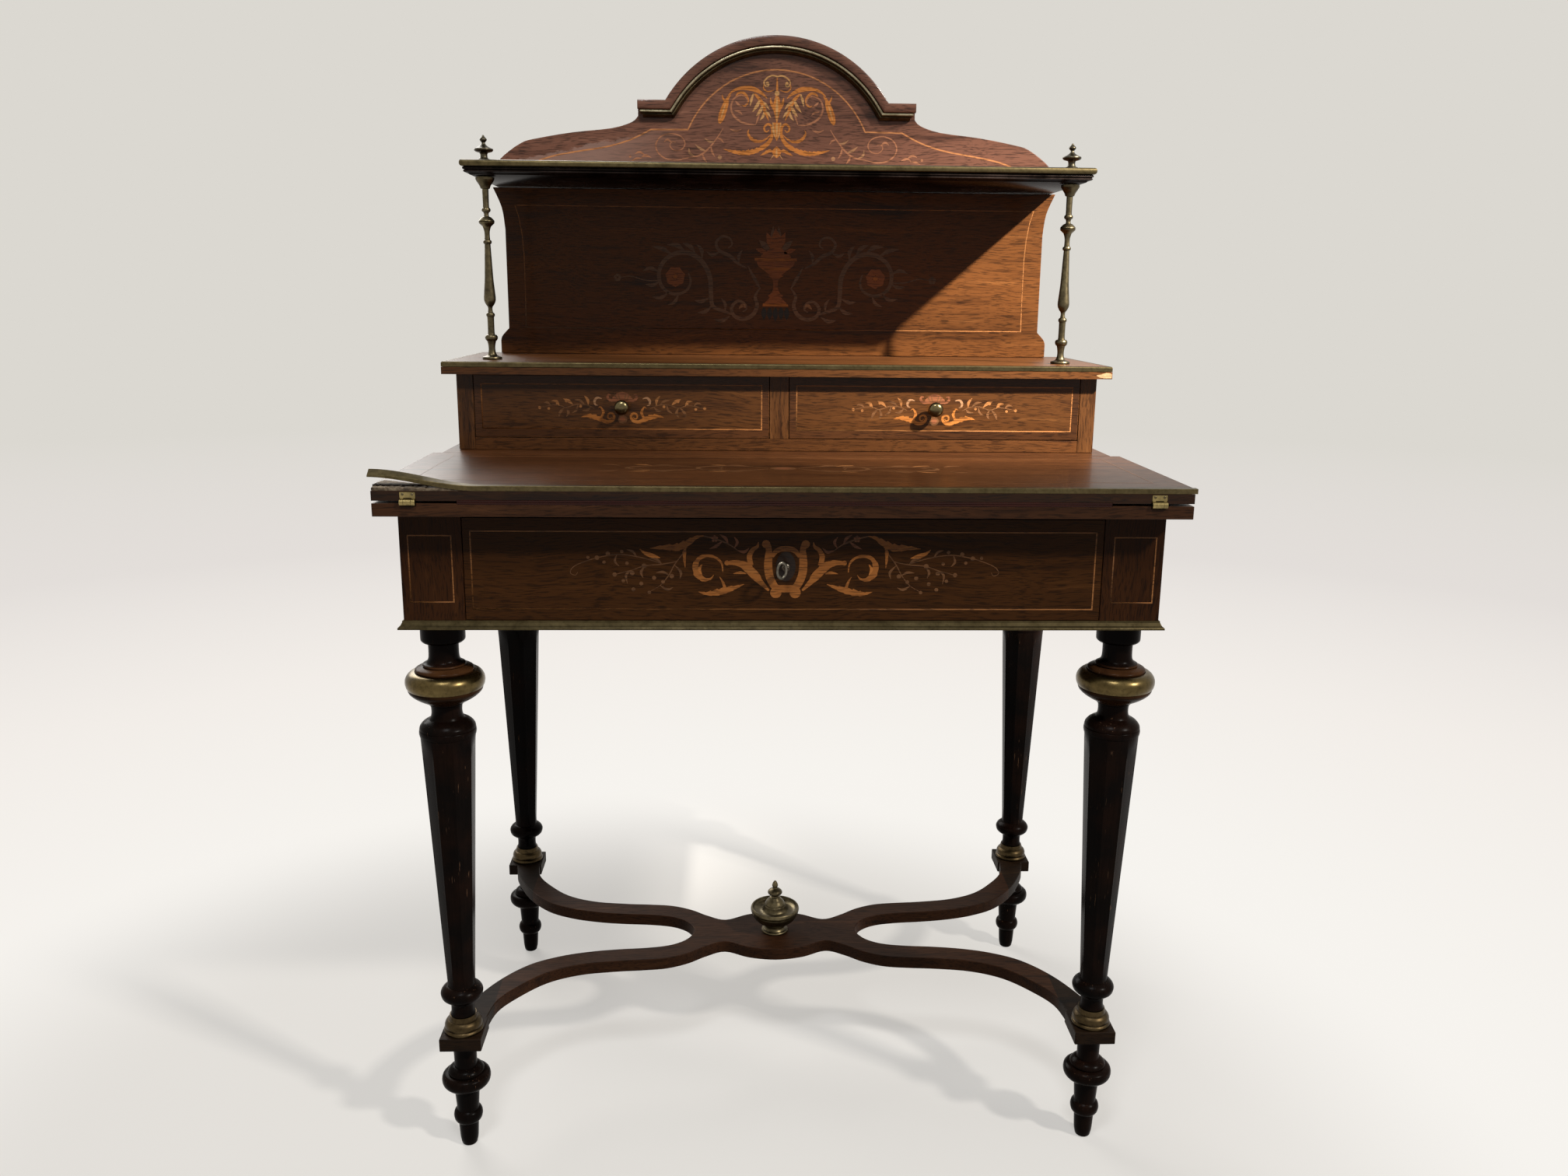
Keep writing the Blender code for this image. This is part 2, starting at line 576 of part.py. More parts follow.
def build_writing_drawer():
    bm = box((-DRAWER_X, APRON_FRONT, DRAWER_Z), (DRAWER_X, DRAWER_INNER, DRAWER_TOP))
    front = piece("writing_drawer_front", bm, rosewood, drawer_slide)
    behind = DRAWER_INNER + CUT
    shape(front, rod(KEY_SHAFT_R + KEYHOLE_PLAY, (0, behind, KEY_Z), DRAWER_FRONT_T + 2 * CUT, 12, "Y"))
    slot_x = KEY_BIT_T / 2 + KEY_SLOT_PLAY
    slot_z = KEY_Z - KEY_BIT_R - KEYHOLE_PLAY
    shape(front, box((-slot_x, APRON_FRONT - CUT, slot_z), (slot_x, behind, KEY_Z)))
    x = DRAWER_X - DRAWER_BOX_INSET
    inner_x = x - DRAWER_SIDE_T
    low = DRAWER_INNER + GAP
    high = APRON_BACK - RAIL_T - DRAWER_BACK_ROOM
    inner_high = high - DRAWER_SIDE_T
    outline = (
        (-x, low), (-inner_x, low), (-inner_x, inner_high), (inner_x, inner_high),
        (inner_x, low), (x, low), (x, high), (-x, high),
    )
    bm = plate(outline, DRAWER_Z, DRAWER_TOP - DRAWER_SIDE_DROP, "Z")
    walls = piece("writing_drawer_box", bm, oak, drawer_slide)
    sheet_x = inner_x + DRAWER_GROOVE
    sheet_y = inner_high + DRAWER_GROOVE
    sheet_z = DRAWER_Z + DRAWER_BOTTOM_UP
    sheet_top = sheet_z + DRAWER_BOTTOM_T
    bm = box((-sheet_x, low, sheet_z), (sheet_x, sheet_y, sheet_top))
    piece("writing_drawer_bottom", bm, oak, drawer_slide)
    groove_x = sheet_x + GAP
    shape(walls, box((-groove_x, low - CUT, sheet_z - GAP), (groove_x, sheet_y + GAP, sheet_top + GAP)))
    build_lock()
    build_key()


def build_lock():
    x = LOCK_W / 2
    bm = box((-x, LOCK_FRONT, KEY_Z - LOCK_DROP), (x, LOCK_FRONT + LOCK_T, LOCK_TOP))
    lock = piece("drawer_lock", bm, iron, drawer_slide)
    cavity_end = LOCK_FRONT + LOCK_CAVITY_DEEP
    shape(lock, rod(LOCK_CAVITY_R, (0, cavity_end, KEY_Z), LOCK_CAVITY_DEEP + CUT, 16, "Y"))
    half_x = BOLT_W / 2
    half_y = BOLT_T / 2
    bm = box((-half_x, BOLT_Y - half_y, BOLT_LOW), (half_x, BOLT_Y + half_y, LOCK_TOP - GAP))
    piece("lock_bolt", bm, iron, bolt_slide)
    play_x = half_x + BOLT_PLAY
    play_y = half_y + BOLT_PLAY
    shape(lock, box((-play_x, BOLT_Y - play_y, BOLT_LOW - GAP), (play_x, BOLT_Y + play_y, LOCK_TOP + CUT)))


def build_key():
    end = LOCK_FRONT + LOCK_CAVITY_DEEP - PIN_CLEAR
    depth = end - APRON_FRONT
    outline = [(KEY_SHAFT_R, 0.0)]
    outline += [(r, depth + out) for r, out in KEY_COLLAR]
    outline.append((KEY_SHAFT_R, depth + KEY_OUT))
    key = piece("key", turning(outline, (0, end, KEY_Z), 12, "Y"), iron, key_pivot, smooth=True)
    half = KEY_BIT_T / 2
    bit = box((-half, LOCK_FRONT + PIN_CLEAR, KEY_Z - KEY_BIT_R), (half, end - GAP, KEY_Z))
    shape(key, bit, "UNION")
    bow = bmesh.new()
    upright = Matrix.Translation((KEY_BOW_R, 0, 0)) @ Matrix.Rotation(pi / 2, 4, "X")
    bmesh.ops.create_circle(bow, segments=8, radius=KEY_BOW_WIRE, matrix=upright)
    spin(bow, 16)
    bow.transform(Matrix.Translation((-KEY_BOW_R, 0, 0)) @ Matrix.Diagonal((1.0, KEY_BOW_TALL, 1.0, 1.0)))
    bow.transform(Matrix.Rotation(radians(KEY_BOW_TURN), 4, "Z") @ Matrix.Rotation(pi / 2, 4, "X"))
    bow.transform(Matrix.Translation((0, APRON_FRONT - KEY_OUT, KEY_Z)))
    shape(key, bow, "UNION")


def build_leaves():
    bm = box((-LEAF_X, FRONT, LOWER_LEAF_Z), (LEAF_X, BACK, LOWER_LEAF_TOP))
    lower = piece("lower_leaf", bm, rosewood, desk)
    step = FRONT + STRIP_T + GAP
    rebate = LEAF_TOP - STRIP_H - GAP
    outline = (
        (FRONT, UPPER_LEAF_Z), (LEAF_BACK, UPPER_LEAF_Z), (LEAF_BACK, LEAF_TOP),
        (step, LEAF_TOP), (step, rebate), (FRONT, rebate),
    )
    upper = piece("upper_leaf", plate(outline, -LEAF_X, LEAF_X, "X"), rosewood, leaf_pivot)
    rear_x = LEAF_X - REAR_BOARD_INSET
    bm = box((-rear_x, LEAF_BACK + SEAM, LOWER_LEAF_TOP + GAP), (rear_x, BACK, LEAF_TOP))
    piece("rear_top_board", bm, rosewood, desk)
    build_leather("lower_leaf_leather", lower, LOWER_LEAF_TOP, 1)
    build_leather("upper_leaf_leather", upper, UPPER_LEAF_Z, -1)
    build_strip()
    for side, way in SIDES:
        build_hinge(side, way * HINGE_X, lower, upper)


def build_leather(name, leaf, face, way):
    """A leather let into a leaf's inner face, which looks up for way 1 and down for way -1."""
    half = LEAF_X - LEATHER_INSET
    far = LEAF_BACK - LEATHER_MARGIN
    under = face - way * (LEATHER_RECESS - GAP)
    low, high = sorted((under, under + way * LEATHER_T))
    piece(name, box((-half, FRONT, low), (half, far, high)), leather, leaf.parent)
    low, high = sorted((face - way * LEATHER_RECESS, face + way * CUT))
    shape(leaf, box((-half - GAP, FRONT - CUT, low), (half + GAP, far + GAP, high)))


def build_strip():
    """The brass arris strip, whose left end has sprung up."""
    end = LEAF_X + STRIP_OVER
    steps = 8
    spots = [(-end + STRIP_LIFT_RUN * i / steps, 1 - i / steps) for i in range(steps + 1)]
    spots.append((end, 0.0))
    inner = FRONT + STRIP_T
    bm = bmesh.new()
    rings = []
    for x, t in spots:
        low = LEAF_TOP - STRIP_H + STRIP_LIFT * t * t * (3 - 2 * t)
        high = low + STRIP_H
        corners = ((FRONT, low), (inner, low), (inner, high), (FRONT, high))
        rings.append([bm.verts.new((x, y, z)) for y, z in corners])
    skin(bm, rings)
    piece("leaf_brass_strip", bm, brass, leaf_pivot)


def build_hinge(side, x, lower, upper):
    """A butt hinge: one knuckle on the fixed leaf between two on the folding one."""
    y, z = HINGE_AXIS_Y, HINGE_AXIS_Z
    half = HINGE_W / 2
    notch = half + GAP
    middle = HINGE_MIDDLE_W / 2
    web = HINGE_WEB_W / 2
    clear = HINGE_R + HINGE_CLEAR
    plate_top = LOWER_LEAF_TOP - GAP / 2
    plate_low = plate_top - HINGE_PLATE
    inner = y + clear + GAP
    end = FRONT + HINGE_PLATE_DEEP
    bm = barrel(HINGE_R, x - middle, x + middle, y, z)
    fixed = piece("hinge_" + side + "_fixed", bm, brass, desk, smooth=True)
    shape(fixed, box((x - web, y, plate_low), (x + web, inner + CUT, plate_top)), "UNION")
    shape(fixed, box((x - half, inner, plate_low), (x + half, end, plate_top)), "UNION")
    shape(lower, barrel(clear, x - notch, x + notch, y, z))
    shape(lower, box((x - notch, y, plate_low - GAP), (x + notch, end + GAP, LOWER_LEAF_TOP + CUT)))
    let_in = FRONT + HINGE_PLATE
    wing_low = z + clear + GAP
    wing_high = LEAF_TOP - STRIP_H - HINGE_UNDER_STRIP
    bm = box((x - half, FRONT, wing_low), (x + half, let_in, wing_high))
    moving = piece("hinge_" + side + "_moving", bm, brass, leaf_pivot)
    for way in (-1, 1):
        a, b = sorted((x + way * (middle + KNUCKLE_GAP), x + way * half))
        shape(moving, barrel(HINGE_R, a, b, y, z), "UNION")
        shape(moving, box((a + GAP, FRONT, z), (b - GAP, let_in, wing_low + PIN_CLEAR)), "UNION")
    shape(upper, barrel(clear, x - notch, x + notch, y, z))
    shape(upper, box((x - notch, FRONT - CUT, z), (x + notch, let_in + GAP, wing_high + GAP)))


def build_case():
    top = BOARD_Z - GAP
    back = CASE_BACK - CASE_BACK_T - GAP
    floor = CASE_Z + CASE_FLOOR_T
    for side, way in SIDES:
        x_low, x_high = sorted((way * CASE_INNER_X, way * CASE_X))
        piece("case_side_" + side, box((x_low, CASE_FRONT, CASE_Z), (x_high, back, top)), rosewood, desk)
    x = CASE_INNER_X - GAP
    piece("case_floor", box((-x, CASE_FRONT, CASE_Z), (x, back, floor)), rosewood, desk)
    x = DIVIDER_T / 2
    piece("case_divider", box((-x, CASE_FRONT, floor + GAP), (x, back, top)), rosewood, desk)
    piece("case_back", box((-CASE_X, back + GAP, CASE_Z), (CASE_X, CASE_BACK, top)), rosewood, desk)
    bm = box((-BOARD_X, BOARD_FRONT, BOARD_Z), (BOARD_X, BOARD_BACK, BOARD_TOP))
    board = piece("case_top_board", bm, rosewood, desk)
    brass_edge("case_brass_edge", board, (BOARD_X, BOARD_FRONT, BOARD_BACK), BOARD_TOP, EDGE_H)
    hole = COLUMN_PIN_H + PIN_CLEAR
    for side, way in SIDES:
        at = (way * COLUMN_X, COLUMN_Y, BOARD_TOP - hole)
        shape(board, rod(COLUMN_PIN_R + GAP, at, hole + CUT, 12))
        build_small_drawer(side, way * SMALL_X)


def brass_edge(name, board, plan, top, height):
    """A brass angle let into the top arris of a board's front and sides."""
    half, front, back = plan
    low = top - height
    inner = -EDGE_T - GAP
    cutter = ((inner, low - GAP), (CUT, low - GAP), (CUT, top + CUT), (inner, top + CUT))
    shape(board, round_three_sides(half, front, back + CUT, cutter))
    section = (
        (-EDGE_T, low), (0.0, low), (0.0, top - EDGE_CHAMFER), (-EDGE_CHAMFER, top), (-EDGE_T, top),
    )
    piece(name, round_three_sides(half, front, back, section), brass, desk)


def build_small_drawer(side, x):
    slide = group(side + "_drawer_slide", (x, CASE_FRONT, SMALL_Z), desk)
    half = SMALL_W / 2
    inner = CASE_FRONT + SMALL_FRONT_T
    bm = box((x - half, CASE_FRONT, SMALL_Z), (x + half, inner, SMALL_TOP))
    front = piece(side + "_drawer_front", bm, rosewood, slide)
    low = inner + GAP
    high = CASE_BACK - CASE_BACK_T - SMALL_BACK_ROOM
    rim = SMALL_TOP - SMALL_SIDE_DROP
    tray_x = half - SMALL_BOX_INSET
    hollow_x = tray_x - SMALL_SIDE_T
    bm = box((x - tray_x, low, SMALL_Z), (x + tray_x, high, rim))
    tray = piece(side + "_drawer_box", bm, oak, slide)
    hollow = box(
        (x - hollow_x, low - CUT, SMALL_Z + SMALL_SIDE_T),
        (x + hollow_x, high - SMALL_SIDE_T, rim + CUT),
    )
    shape(tray, hollow)
    middle = (SMALL_Z + SMALL_TOP) / 2
    hole = KNOB_PIN_H + GAP
    shape(front, rod(KNOB_PIN_R + GAP, (x, CASE_FRONT + hole, middle), hole + CUT, 12, "Y"))
    wide = KNOB_R / max(r for r, h in KNOB)
    tall = KNOB_OUT / KNOB[-1][1]
    outline = [(KNOB_PIN_R, -KNOB_PIN_H), (KNOB_PIN_R, GAP)]
    outline += [(r * wide, h * tall + GAP) for r, h in KNOB]
    bm = turning(outline, (x, CASE_FRONT, middle), 12, "Y")
    piece(side + "_drawer_knob", bm, brass, slide, smooth=True)


def build_gallery():
    bm = box((-SHELF_X, SHELF_FRONT, SHELF_Z), (SHELF_X, PANEL_BACK, SHELF_TOP))
    shelf = piece("shelf", bm, ebonised, desk)
    brass_edge("shelf_brass_edge", shelf, (SHELF_X, SHELF_FRONT, PANEL_BACK), SHELF_TOP, SHELF_EDGE_H)
    column_tall = COLUMN_H / COLUMN[-1][1]
    finial_tall = FINIAL_H / FINIAL[-1][1]
    column_base = BOARD_TOP + GAP
    column_outline = [(COLUMN_PIN_R, column_base - COLUMN_PIN_H), (COLUMN_PIN_R, column_base)]
    column_outline += [(r, column_base + h * column_tall) for r, h in COLUMN]
    finial_base = SHELF_TOP + GAP
    rod_tip = finial_base - FINIAL_ROD_H
    finial_outline = [(FINIAL_ROD_R, rod_tip), (FINIAL_ROD_R, finial_base)]
    finial_outline += [(r, finial_base + h * finial_tall) for r, h in FINIAL]
    for side, way in SIDES:
        x = way * COLUMN_X
        bm = turning(column_outline, (x, COLUMN_Y, 0.0), 12)
        column = piece("column_" + side, bm, brass, desk, smooth=True)
        bore = FINIAL_ROD_R + GAP
        shape(column, rod(bore, (x, COLUMN_Y, rod_tip - PIN_CLEAR), FINIAL_ROD_H, 12))
        shape(shelf, rod(bore, (x, COLUMN_Y, SHELF_Z - CUT), SHELF_T + 2 * CUT, 12))
        bm = turning(finial_outline, (x, COLUMN_Y, 0.0), 12)
        piece("finial_" + side, bm, brass, desk, smooth=True)
    build_panel()


def build_panel():
    low = BOARD_TOP + GAP
    tall = SHELF_Z - GAP - low
    foot = SHELF_X - PANEL_INSET
    edge = [(foot, low)]
    for part in (PANEL_LOWER, PANEL_UPPER):
        edge += [(foot - inset, low + share * tall) for inset, share in curve(part, 4)]
    outline = edge + [(-x, z) for x, z in reversed(edge)]
    piece("back_panel", plate(outline, PANEL_FRONT, PANEL_BACK, "Y"), rosewood, desk)


def build_crest():
    low = SHELF_TOP + GAP
    ear = EAR_WIDTH / 2
    sweep_width = SHELF_X - CREST_INSET - ear
    edge = [(ear + sweep_width * a, low + (EAR_Z - low) * b) for a, b in curve(SHOULDER, 3)]
    edge.append((ear, EAR_Z))
    arch = []
    for i in range(ARCH_STEPS + 1):
        turn = ARCH_ANGLE * (1 - 2 * i / ARCH_STEPS)
        arch.append((ARCH_R * sin(turn), ARCH_MIDDLE + ARCH_R * cos(turn)))
    outline = edge + arch + [(-x, z) for x, z in reversed(edge)]
    piece("crest", plate(outline, PANEL_FRONT, PANEL_BACK, "Y"), rosewood, desk)
    path = [(-ear, EAR_Z), *reversed(arch), (ear, EAR_Z)]
    back = PANEL_FRONT - GAP
    projection = CREST_MOULDING_OUT - GAP
    section = [(CREST_MOULDING_H * a, back - projection * b) for a, b in CREST_SECTION]
    piece("crest_moulding", sweep(path, section, lambda x, z, y: (x, y, z)), rosewood, desk)


build_legs()
build_stretcher()
build_apron()
build_writing_drawer()
build_leaves()
build_case()
build_gallery()
build_crest()
bpy.context.view_layer.update()
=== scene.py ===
"""The looks of a bonheur du jour: finishes, fine turnings, brass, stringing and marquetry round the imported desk.

Metres, +Z up, front towards -Y. Turned outlines and the drawings of the marquetry are in millimetres.
"""
import json
from math import asin, ceil, cos, hypot, pi, radians, sin

import bmesh
import bpy
from mathutils import Matrix, Vector, noise

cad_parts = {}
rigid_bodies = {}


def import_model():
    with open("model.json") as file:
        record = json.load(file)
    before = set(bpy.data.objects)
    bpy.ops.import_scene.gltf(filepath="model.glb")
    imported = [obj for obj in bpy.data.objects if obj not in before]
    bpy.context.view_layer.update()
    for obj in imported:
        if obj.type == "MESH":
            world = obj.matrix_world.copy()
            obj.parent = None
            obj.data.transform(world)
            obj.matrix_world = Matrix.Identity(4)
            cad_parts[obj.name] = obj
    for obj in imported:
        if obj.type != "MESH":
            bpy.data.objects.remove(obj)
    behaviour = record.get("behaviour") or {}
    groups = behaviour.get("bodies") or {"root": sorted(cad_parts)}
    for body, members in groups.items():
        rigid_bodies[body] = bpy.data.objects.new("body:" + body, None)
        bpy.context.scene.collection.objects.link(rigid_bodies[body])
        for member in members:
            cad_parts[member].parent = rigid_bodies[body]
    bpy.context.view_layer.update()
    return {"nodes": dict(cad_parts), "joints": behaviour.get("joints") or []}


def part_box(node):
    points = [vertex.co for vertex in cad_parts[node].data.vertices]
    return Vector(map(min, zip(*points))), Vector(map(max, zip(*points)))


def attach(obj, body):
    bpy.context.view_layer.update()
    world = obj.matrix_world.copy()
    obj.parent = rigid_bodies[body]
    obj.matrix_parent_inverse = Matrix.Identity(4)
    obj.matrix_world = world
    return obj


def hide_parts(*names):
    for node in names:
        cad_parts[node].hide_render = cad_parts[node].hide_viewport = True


for old in list(bpy.data.objects):
    bpy.data.objects.remove(old, do_unlink=True)
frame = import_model()
nodes = frame["nodes"]

MM = 0.001
SIDES = (("left", -1), ("right", 1))
CORNERS = ("front_left", "front_right", "back_left", "back_right")

# Camera: the photograph's view, taken as 2016 by 1512 pixels
CAMERA_AT = (-0.0474, -1.4797, 0.9526)
CAMERA_YAW = radians(-2.115)
CAMERA_PITCH = radians(13.179)
CAMERA_ROLL = radians(-0.580)
CAMERA_LENS = 28.84
SENSOR = 36.0

# Light: shares of the level at which a colour renders as it is written
WORLD_LEVEL = 0.055
KEY_LEVEL = 0.64
ACCENT_LEVEL = 4.9
FILL_LEVEL = 0.40
BACK_LEVEL = 0.58
KEY_FROM = (0.640, -0.486, 0.596)
KEY_DISTANCE = 8.3
KEY_SIZE = 0.6
ACCENT_AT = (2.02, -1.27, 2.56)
ACCENT_AIM = (0.36, 0.07, 0.94)
ACCENT_CONE = 15.5
ACCENT_RADIUS = 0.04
FILL_FROM = (-0.12, -0.56, 0.82)
FILL_DISTANCE = 3.2
FILL_SIZE = 0.6
BACK_FROM = (-0.55, 0.72, 0.42)
BACK_DISTANCE = 3.2
BACK_SIZE = 1.8
AIM = (0.08, 0.10, 0.90)

# Floor
FLOOR_SIZE = 80.0
FLOOR_COLOUR = (0.74, 0.72, 0.69)
FLOOR_BOUNCE = (0.14, 0.136, 0.13)
FLOOR_GLOW = 0.48
FLOOR_REACH = 8.0
SHADE_AT = (-0.20, -0.25, 0.0)
SHADE_REACH = (0.60, 1.10)
FLOOR_TONES = (
    (0.12, (0.925, 0.899, 0.858)), (0.24, (0.890, 0.850, 0.808)), (0.44, (0.768, 0.730, 0.700)),
    (1.00, (0.709, 0.686, 0.638)),
)
BACKGROUND = (0.709, 0.686, 0.638)


# Materials


class Finish:
    """A Principled material whose colour, roughness and bump come from its own nodes."""

    def __init__(self, name, metallic=0.0, coat=0.0, coat_roughness=0.10, gloss=0.5):
        self.material = bpy.data.materials.new(name)
        self.material.use_nodes = True
        self.tree = self.material.node_tree
        self.shader = self.tree.nodes["Principled BSDF"]
        self.shader.inputs["Metallic"].default_value = metallic
        self.shader.inputs["Coat Weight"].default_value = coat
        self.shader.inputs["Coat Roughness"].default_value = coat_roughness
        self.shader.inputs["Specular IOR Level"].default_value = gloss

    def add(self, kind, inputs, **settings):
        made = self.tree.nodes.new("ShaderNode" + kind)
        for key, value in settings.items():
            setattr(made, key, value)
        for key, value in inputs.items():
            self.set(made.inputs[key], value)
        return made

    def set(self, socket, value):
        if isinstance(value, bpy.types.NodeSocket):
            self.tree.links.new(value, socket)
        else:
            socket.default_value = value

    def place(self):
        return self.add("TexCoord", {}).outputs["Object"]

    def stretch(self, vector, scale, shift=(0.0, 0.0, 0.0)):
        inputs = {"Vector": vector, "Scale": scale, "Location": shift}
        return self.add("Mapping", inputs).outputs["Vector"]

    def noise(self, vector, scale=1.0, detail=4.0, rough=0.55):
        inputs = {"Vector": vector, "Scale": scale, "Detail": detail, "Roughness": rough}
        return self.add("TexNoise", inputs)

    def ramp(self, factor, stops):
        made = self.add("ValToRGB", {"Fac": factor})
        elements = made.color_ramp.elements
        while len(elements) < len(stops):
            elements.new(0.5)
        for element, (spot, colour) in zip(elements, stops):
            element.position = spot
            element.color = (*colour, 1.0) if hasattr(colour, "__len__") else (colour, colour, colour, 1.0)
        return made.outputs["Color"]

    def mix(self, kind, factor, a, b):
        inputs = {"Fac": factor, "Color1": a, "Color2": b}
        return self.add("MixRGB", inputs, blend_type=kind).outputs["Color"]

    def scaled(self, value, low, high):
        inputs = {"Value": value, "To Min": low, "To Max": high}
        return self.add("MapRange", inputs).outputs["Result"]

    def drift(self, spot, scale, amount):
        """The place moved about by a slow noise, so that grain wanders."""
        wander = self.noise(spot, scale, 2.0).outputs["Color"]
        centred = self.add("VectorMath", {0: wander, 1: (0.5, 0.5, 0.5)}, operation="SUBTRACT")
        small = self.add("VectorMath", {0: centred.outputs[0], "Scale": amount}, operation="SCALE")
        moved = self.add("VectorMath", {0: spot, 1: small.outputs[0]}, operation="ADD")
        return moved.outputs[0]

    def finish(self, colour, roughness, height=None, strength=0.1, distance=0.0004):
        self.set(self.shader.inputs["Base Color"], colour)
        self.set(self.shader.inputs["Roughness"], roughness)
        if height is not None:
            bump = self.add("Bump", {"Height": height, "Strength": strength, "Distance": distance})
            self.set(self.shader.inputs["Normal"], bump.outputs["Normal"])
        return self.material


def wood(name, dark, middle, light, grain="X", coat=0.06, rough=(0.28, 0.42), shift=(0, 0, 0), fine=1.0, gloss=0.16, edge=1.0,
         reverse=None, bloom=None, ends=None):
    """A veneer with wandering streaks and dark pores.

    edge dims its upright sides as painted shade, reverse gives the tones of its back, and ends is the distance along X
    beyond which it is stained dark. bloom is a tint of worn polish that lies under a ragged line of a slope and a
    height, and fades between two places along X.
    """
    f = Finish(name, coat=coat, gloss=gloss)
    spot = f.drift(f.stretch(f.place(), (1, 1, 1), shift), 5.0, 0.030)
    streaks = tuple(3.0 * fine if axis == grain else 75.0 * fine for axis in "XYZ")
    pores = tuple(52.0 if axis == grain else 760.0 for axis in "XYZ")
    broad = tuple(1.6 if axis == grain else 11.0 for axis in "XYZ")
    streak = f.noise(f.stretch(spot, streaks), 1.0, 6.0, 0.60).outputs[0]
    pore = f.noise(f.stretch(spot, pores), 1.0, 3.0, 0.5).outputs[0]
    tone = f.noise(f.stretch(spot, broad), 1.0, 2.0, 0.5).outputs[0]
    colour = f.ramp(streak, ((0.30, dark), (0.46, middle), (0.58, middle), (0.74, light)))
    if reverse:
        normal = f.add("TexCoord", {}).outputs["Normal"]
        behind = f.ramp(f.add("SeparateXYZ", {"Vector": normal}).outputs["Y"], ((0.50, 0.0), (0.80, 1.0)))
        plain = f.ramp(streak, ((0.30, reverse[0]), (0.52, reverse[1]), (0.74, reverse[2])))
        colour = f.mix("MIX", behind, colour, plain)
    colour = f.mix("MULTIPLY", 0.85, colour, f.ramp(pore, ((0.38, 0.32), (0.50, 1.0))))
    colour = f.mix("MULTIPLY", 1.0, colour, f.ramp(tone, ((0.30, 0.70), (0.70, 1.18))))
    if ends:
        away = f.add("Math", {0: f.add("SeparateXYZ", {"Vector": f.place()}).outputs["X"]}, operation="ABSOLUTE").outputs[0]
        stain = f.add("MapRange", {"Value": away, "From Min": ends - 0.001, "From Max": ends}).outputs["Result"]
        colour = f.mix("MULTIPLY", stain, colour, STAIN)
    if bloom:
        tint, slope, height, limits = bloom
        here = f.add("SeparateXYZ", {"Vector": f.place()}).outputs
        line = f.add("Math", {0: here["X"], 1: slope, 2: height}, operation="MULTIPLY_ADD").outputs[0]
        below = f.add("Math", {0: line, 1: here["Z"]}, operation="SUBTRACT").outputs[0]
        torn = f.scaled(f.noise(f.stretch(f.place(), (60.0, 60.0, 130.0)), 1.0, 6.0, 0.7).outputs[0], -0.013, 0.013)
        depth = f.add("Math", {0: below, 1: torn}, operation="ADD").outputs[0]
        worn = f.add("MapRange", {"Value": depth, "From Min": 0.0, "From Max": 0.003}).outputs["Result"]
        fade = f.add("MapRange", {"Value": here["X"], "From Min": limits[0], "From Max": limits[1],
                                  "To Min": 0.62, "To Max": 0.0}).outputs["Result"]
        share = f.add("Math", {0: worn, 1: fade}, operation="MULTIPLY").outputs[0]
        colour = f.mix("MIX", share, colour, (*tint, 1.0))
    # Painted shade: faces that stand upright are darkened down to the share edge, against the level tops.
    if edge < 1.0:
        normal = f.add("TexCoord", {}).outputs["Normal"]
        upright = f.add("SeparateXYZ", {"Vector": normal}).outputs["Z"]
        level = f.add("Math", {0: upright}, operation="ABSOLUTE").outputs[0]
        colour = f.mix("MULTIPLY", 1.0, colour, f.ramp(level, ((0.30, edge), (0.80, 1.0))))
    return f.finish(colour, f.scaled(pore, rough[1], rough[0]), pore, 0.14, 0.0003)


def ebony(name, tint=(0.030, 0.013, 0.008), scratched=1.0, bands=()):
    """Blackened wood, browner where worn or within a band of heights, with short pale scratches along its length."""
    f = Finish(name, gloss=0.03)
    spot = f.place()
    worn = f.noise(spot, 22.0, 4.0).outputs[0]
    grain = f.noise(f.stretch(spot, (420.0, 420.0, 16.0)), 1.0, 3.0).outputs[0]
    colour = f.ramp(worn, ((0.40, (0.0044, 0.0028, 0.0022)), (0.72, tint)))
    colour = f.mix("MULTIPLY", 0.6, colour, f.ramp(grain, ((0.30, 0.55), (0.65, 1.25))))
    lines = f.noise(f.stretch(spot, (620.0, 620.0, 42.0)), 1.0, 2.0).outputs[0]
    patches = f.noise(spot, 34.0, 2.0).outputs[0]
    height = f.add("SeparateXYZ", {"Vector": spot}).outputs["Z"]
    for low, high in bands:
        share = f.add("MapRange", {"Value": height, "From Min": low, "From Max": high}).outputs[0]
        inside = f.ramp(share, ((0.0, 0.0), (0.08, 1.0), (0.92, 1.0), (1.0, 0.0)))
        brown = f.ramp(worn, ((0.35, (0.022, 0.0088, 0.0040)), (0.65, (0.066, 0.0270, 0.0098))))
        colour = f.mix("MIX", inside, colour, brown)
    mark = f.ramp(lines, ((0.67, 0.0), (0.71, 1.0)))
    where = f.ramp(patches, ((0.50, 0.0), (0.62, scratched)))
    mask = f.mix("MULTIPLY", 1.0, mark, where)
    colour = f.mix("MIX", mask, colour, (0.150, 0.080, 0.045, 1.0))
    return f.finish(colour, f.scaled(worn, 0.18, 0.34), grain, 0.06, 0.0003)


def metal(name, bright, dull, rough=(0.26, 0.46), spots=55.0):
    """Aged metal: worn brighter in places, dull with tarnish in others."""
    f = Finish(name, metallic=1.0)
    spot = f.place()
    cloud = f.noise(spot, spots, 5.0, 0.62).outputs[0]
    grime = f.noise(spot, 260.0, 3.0).outputs[0]
    colour = f.ramp(cloud, ((0.28, dull), (0.72, bright)))
    colour = f.mix("MULTIPLY", 0.6, colour, f.ramp(grime, ((0.32, 0.50), (0.52, 1.0))))
    return f.finish(colour, f.scaled(cloud, rough[1], rough[0]), grime, 0.06, 0.0003)


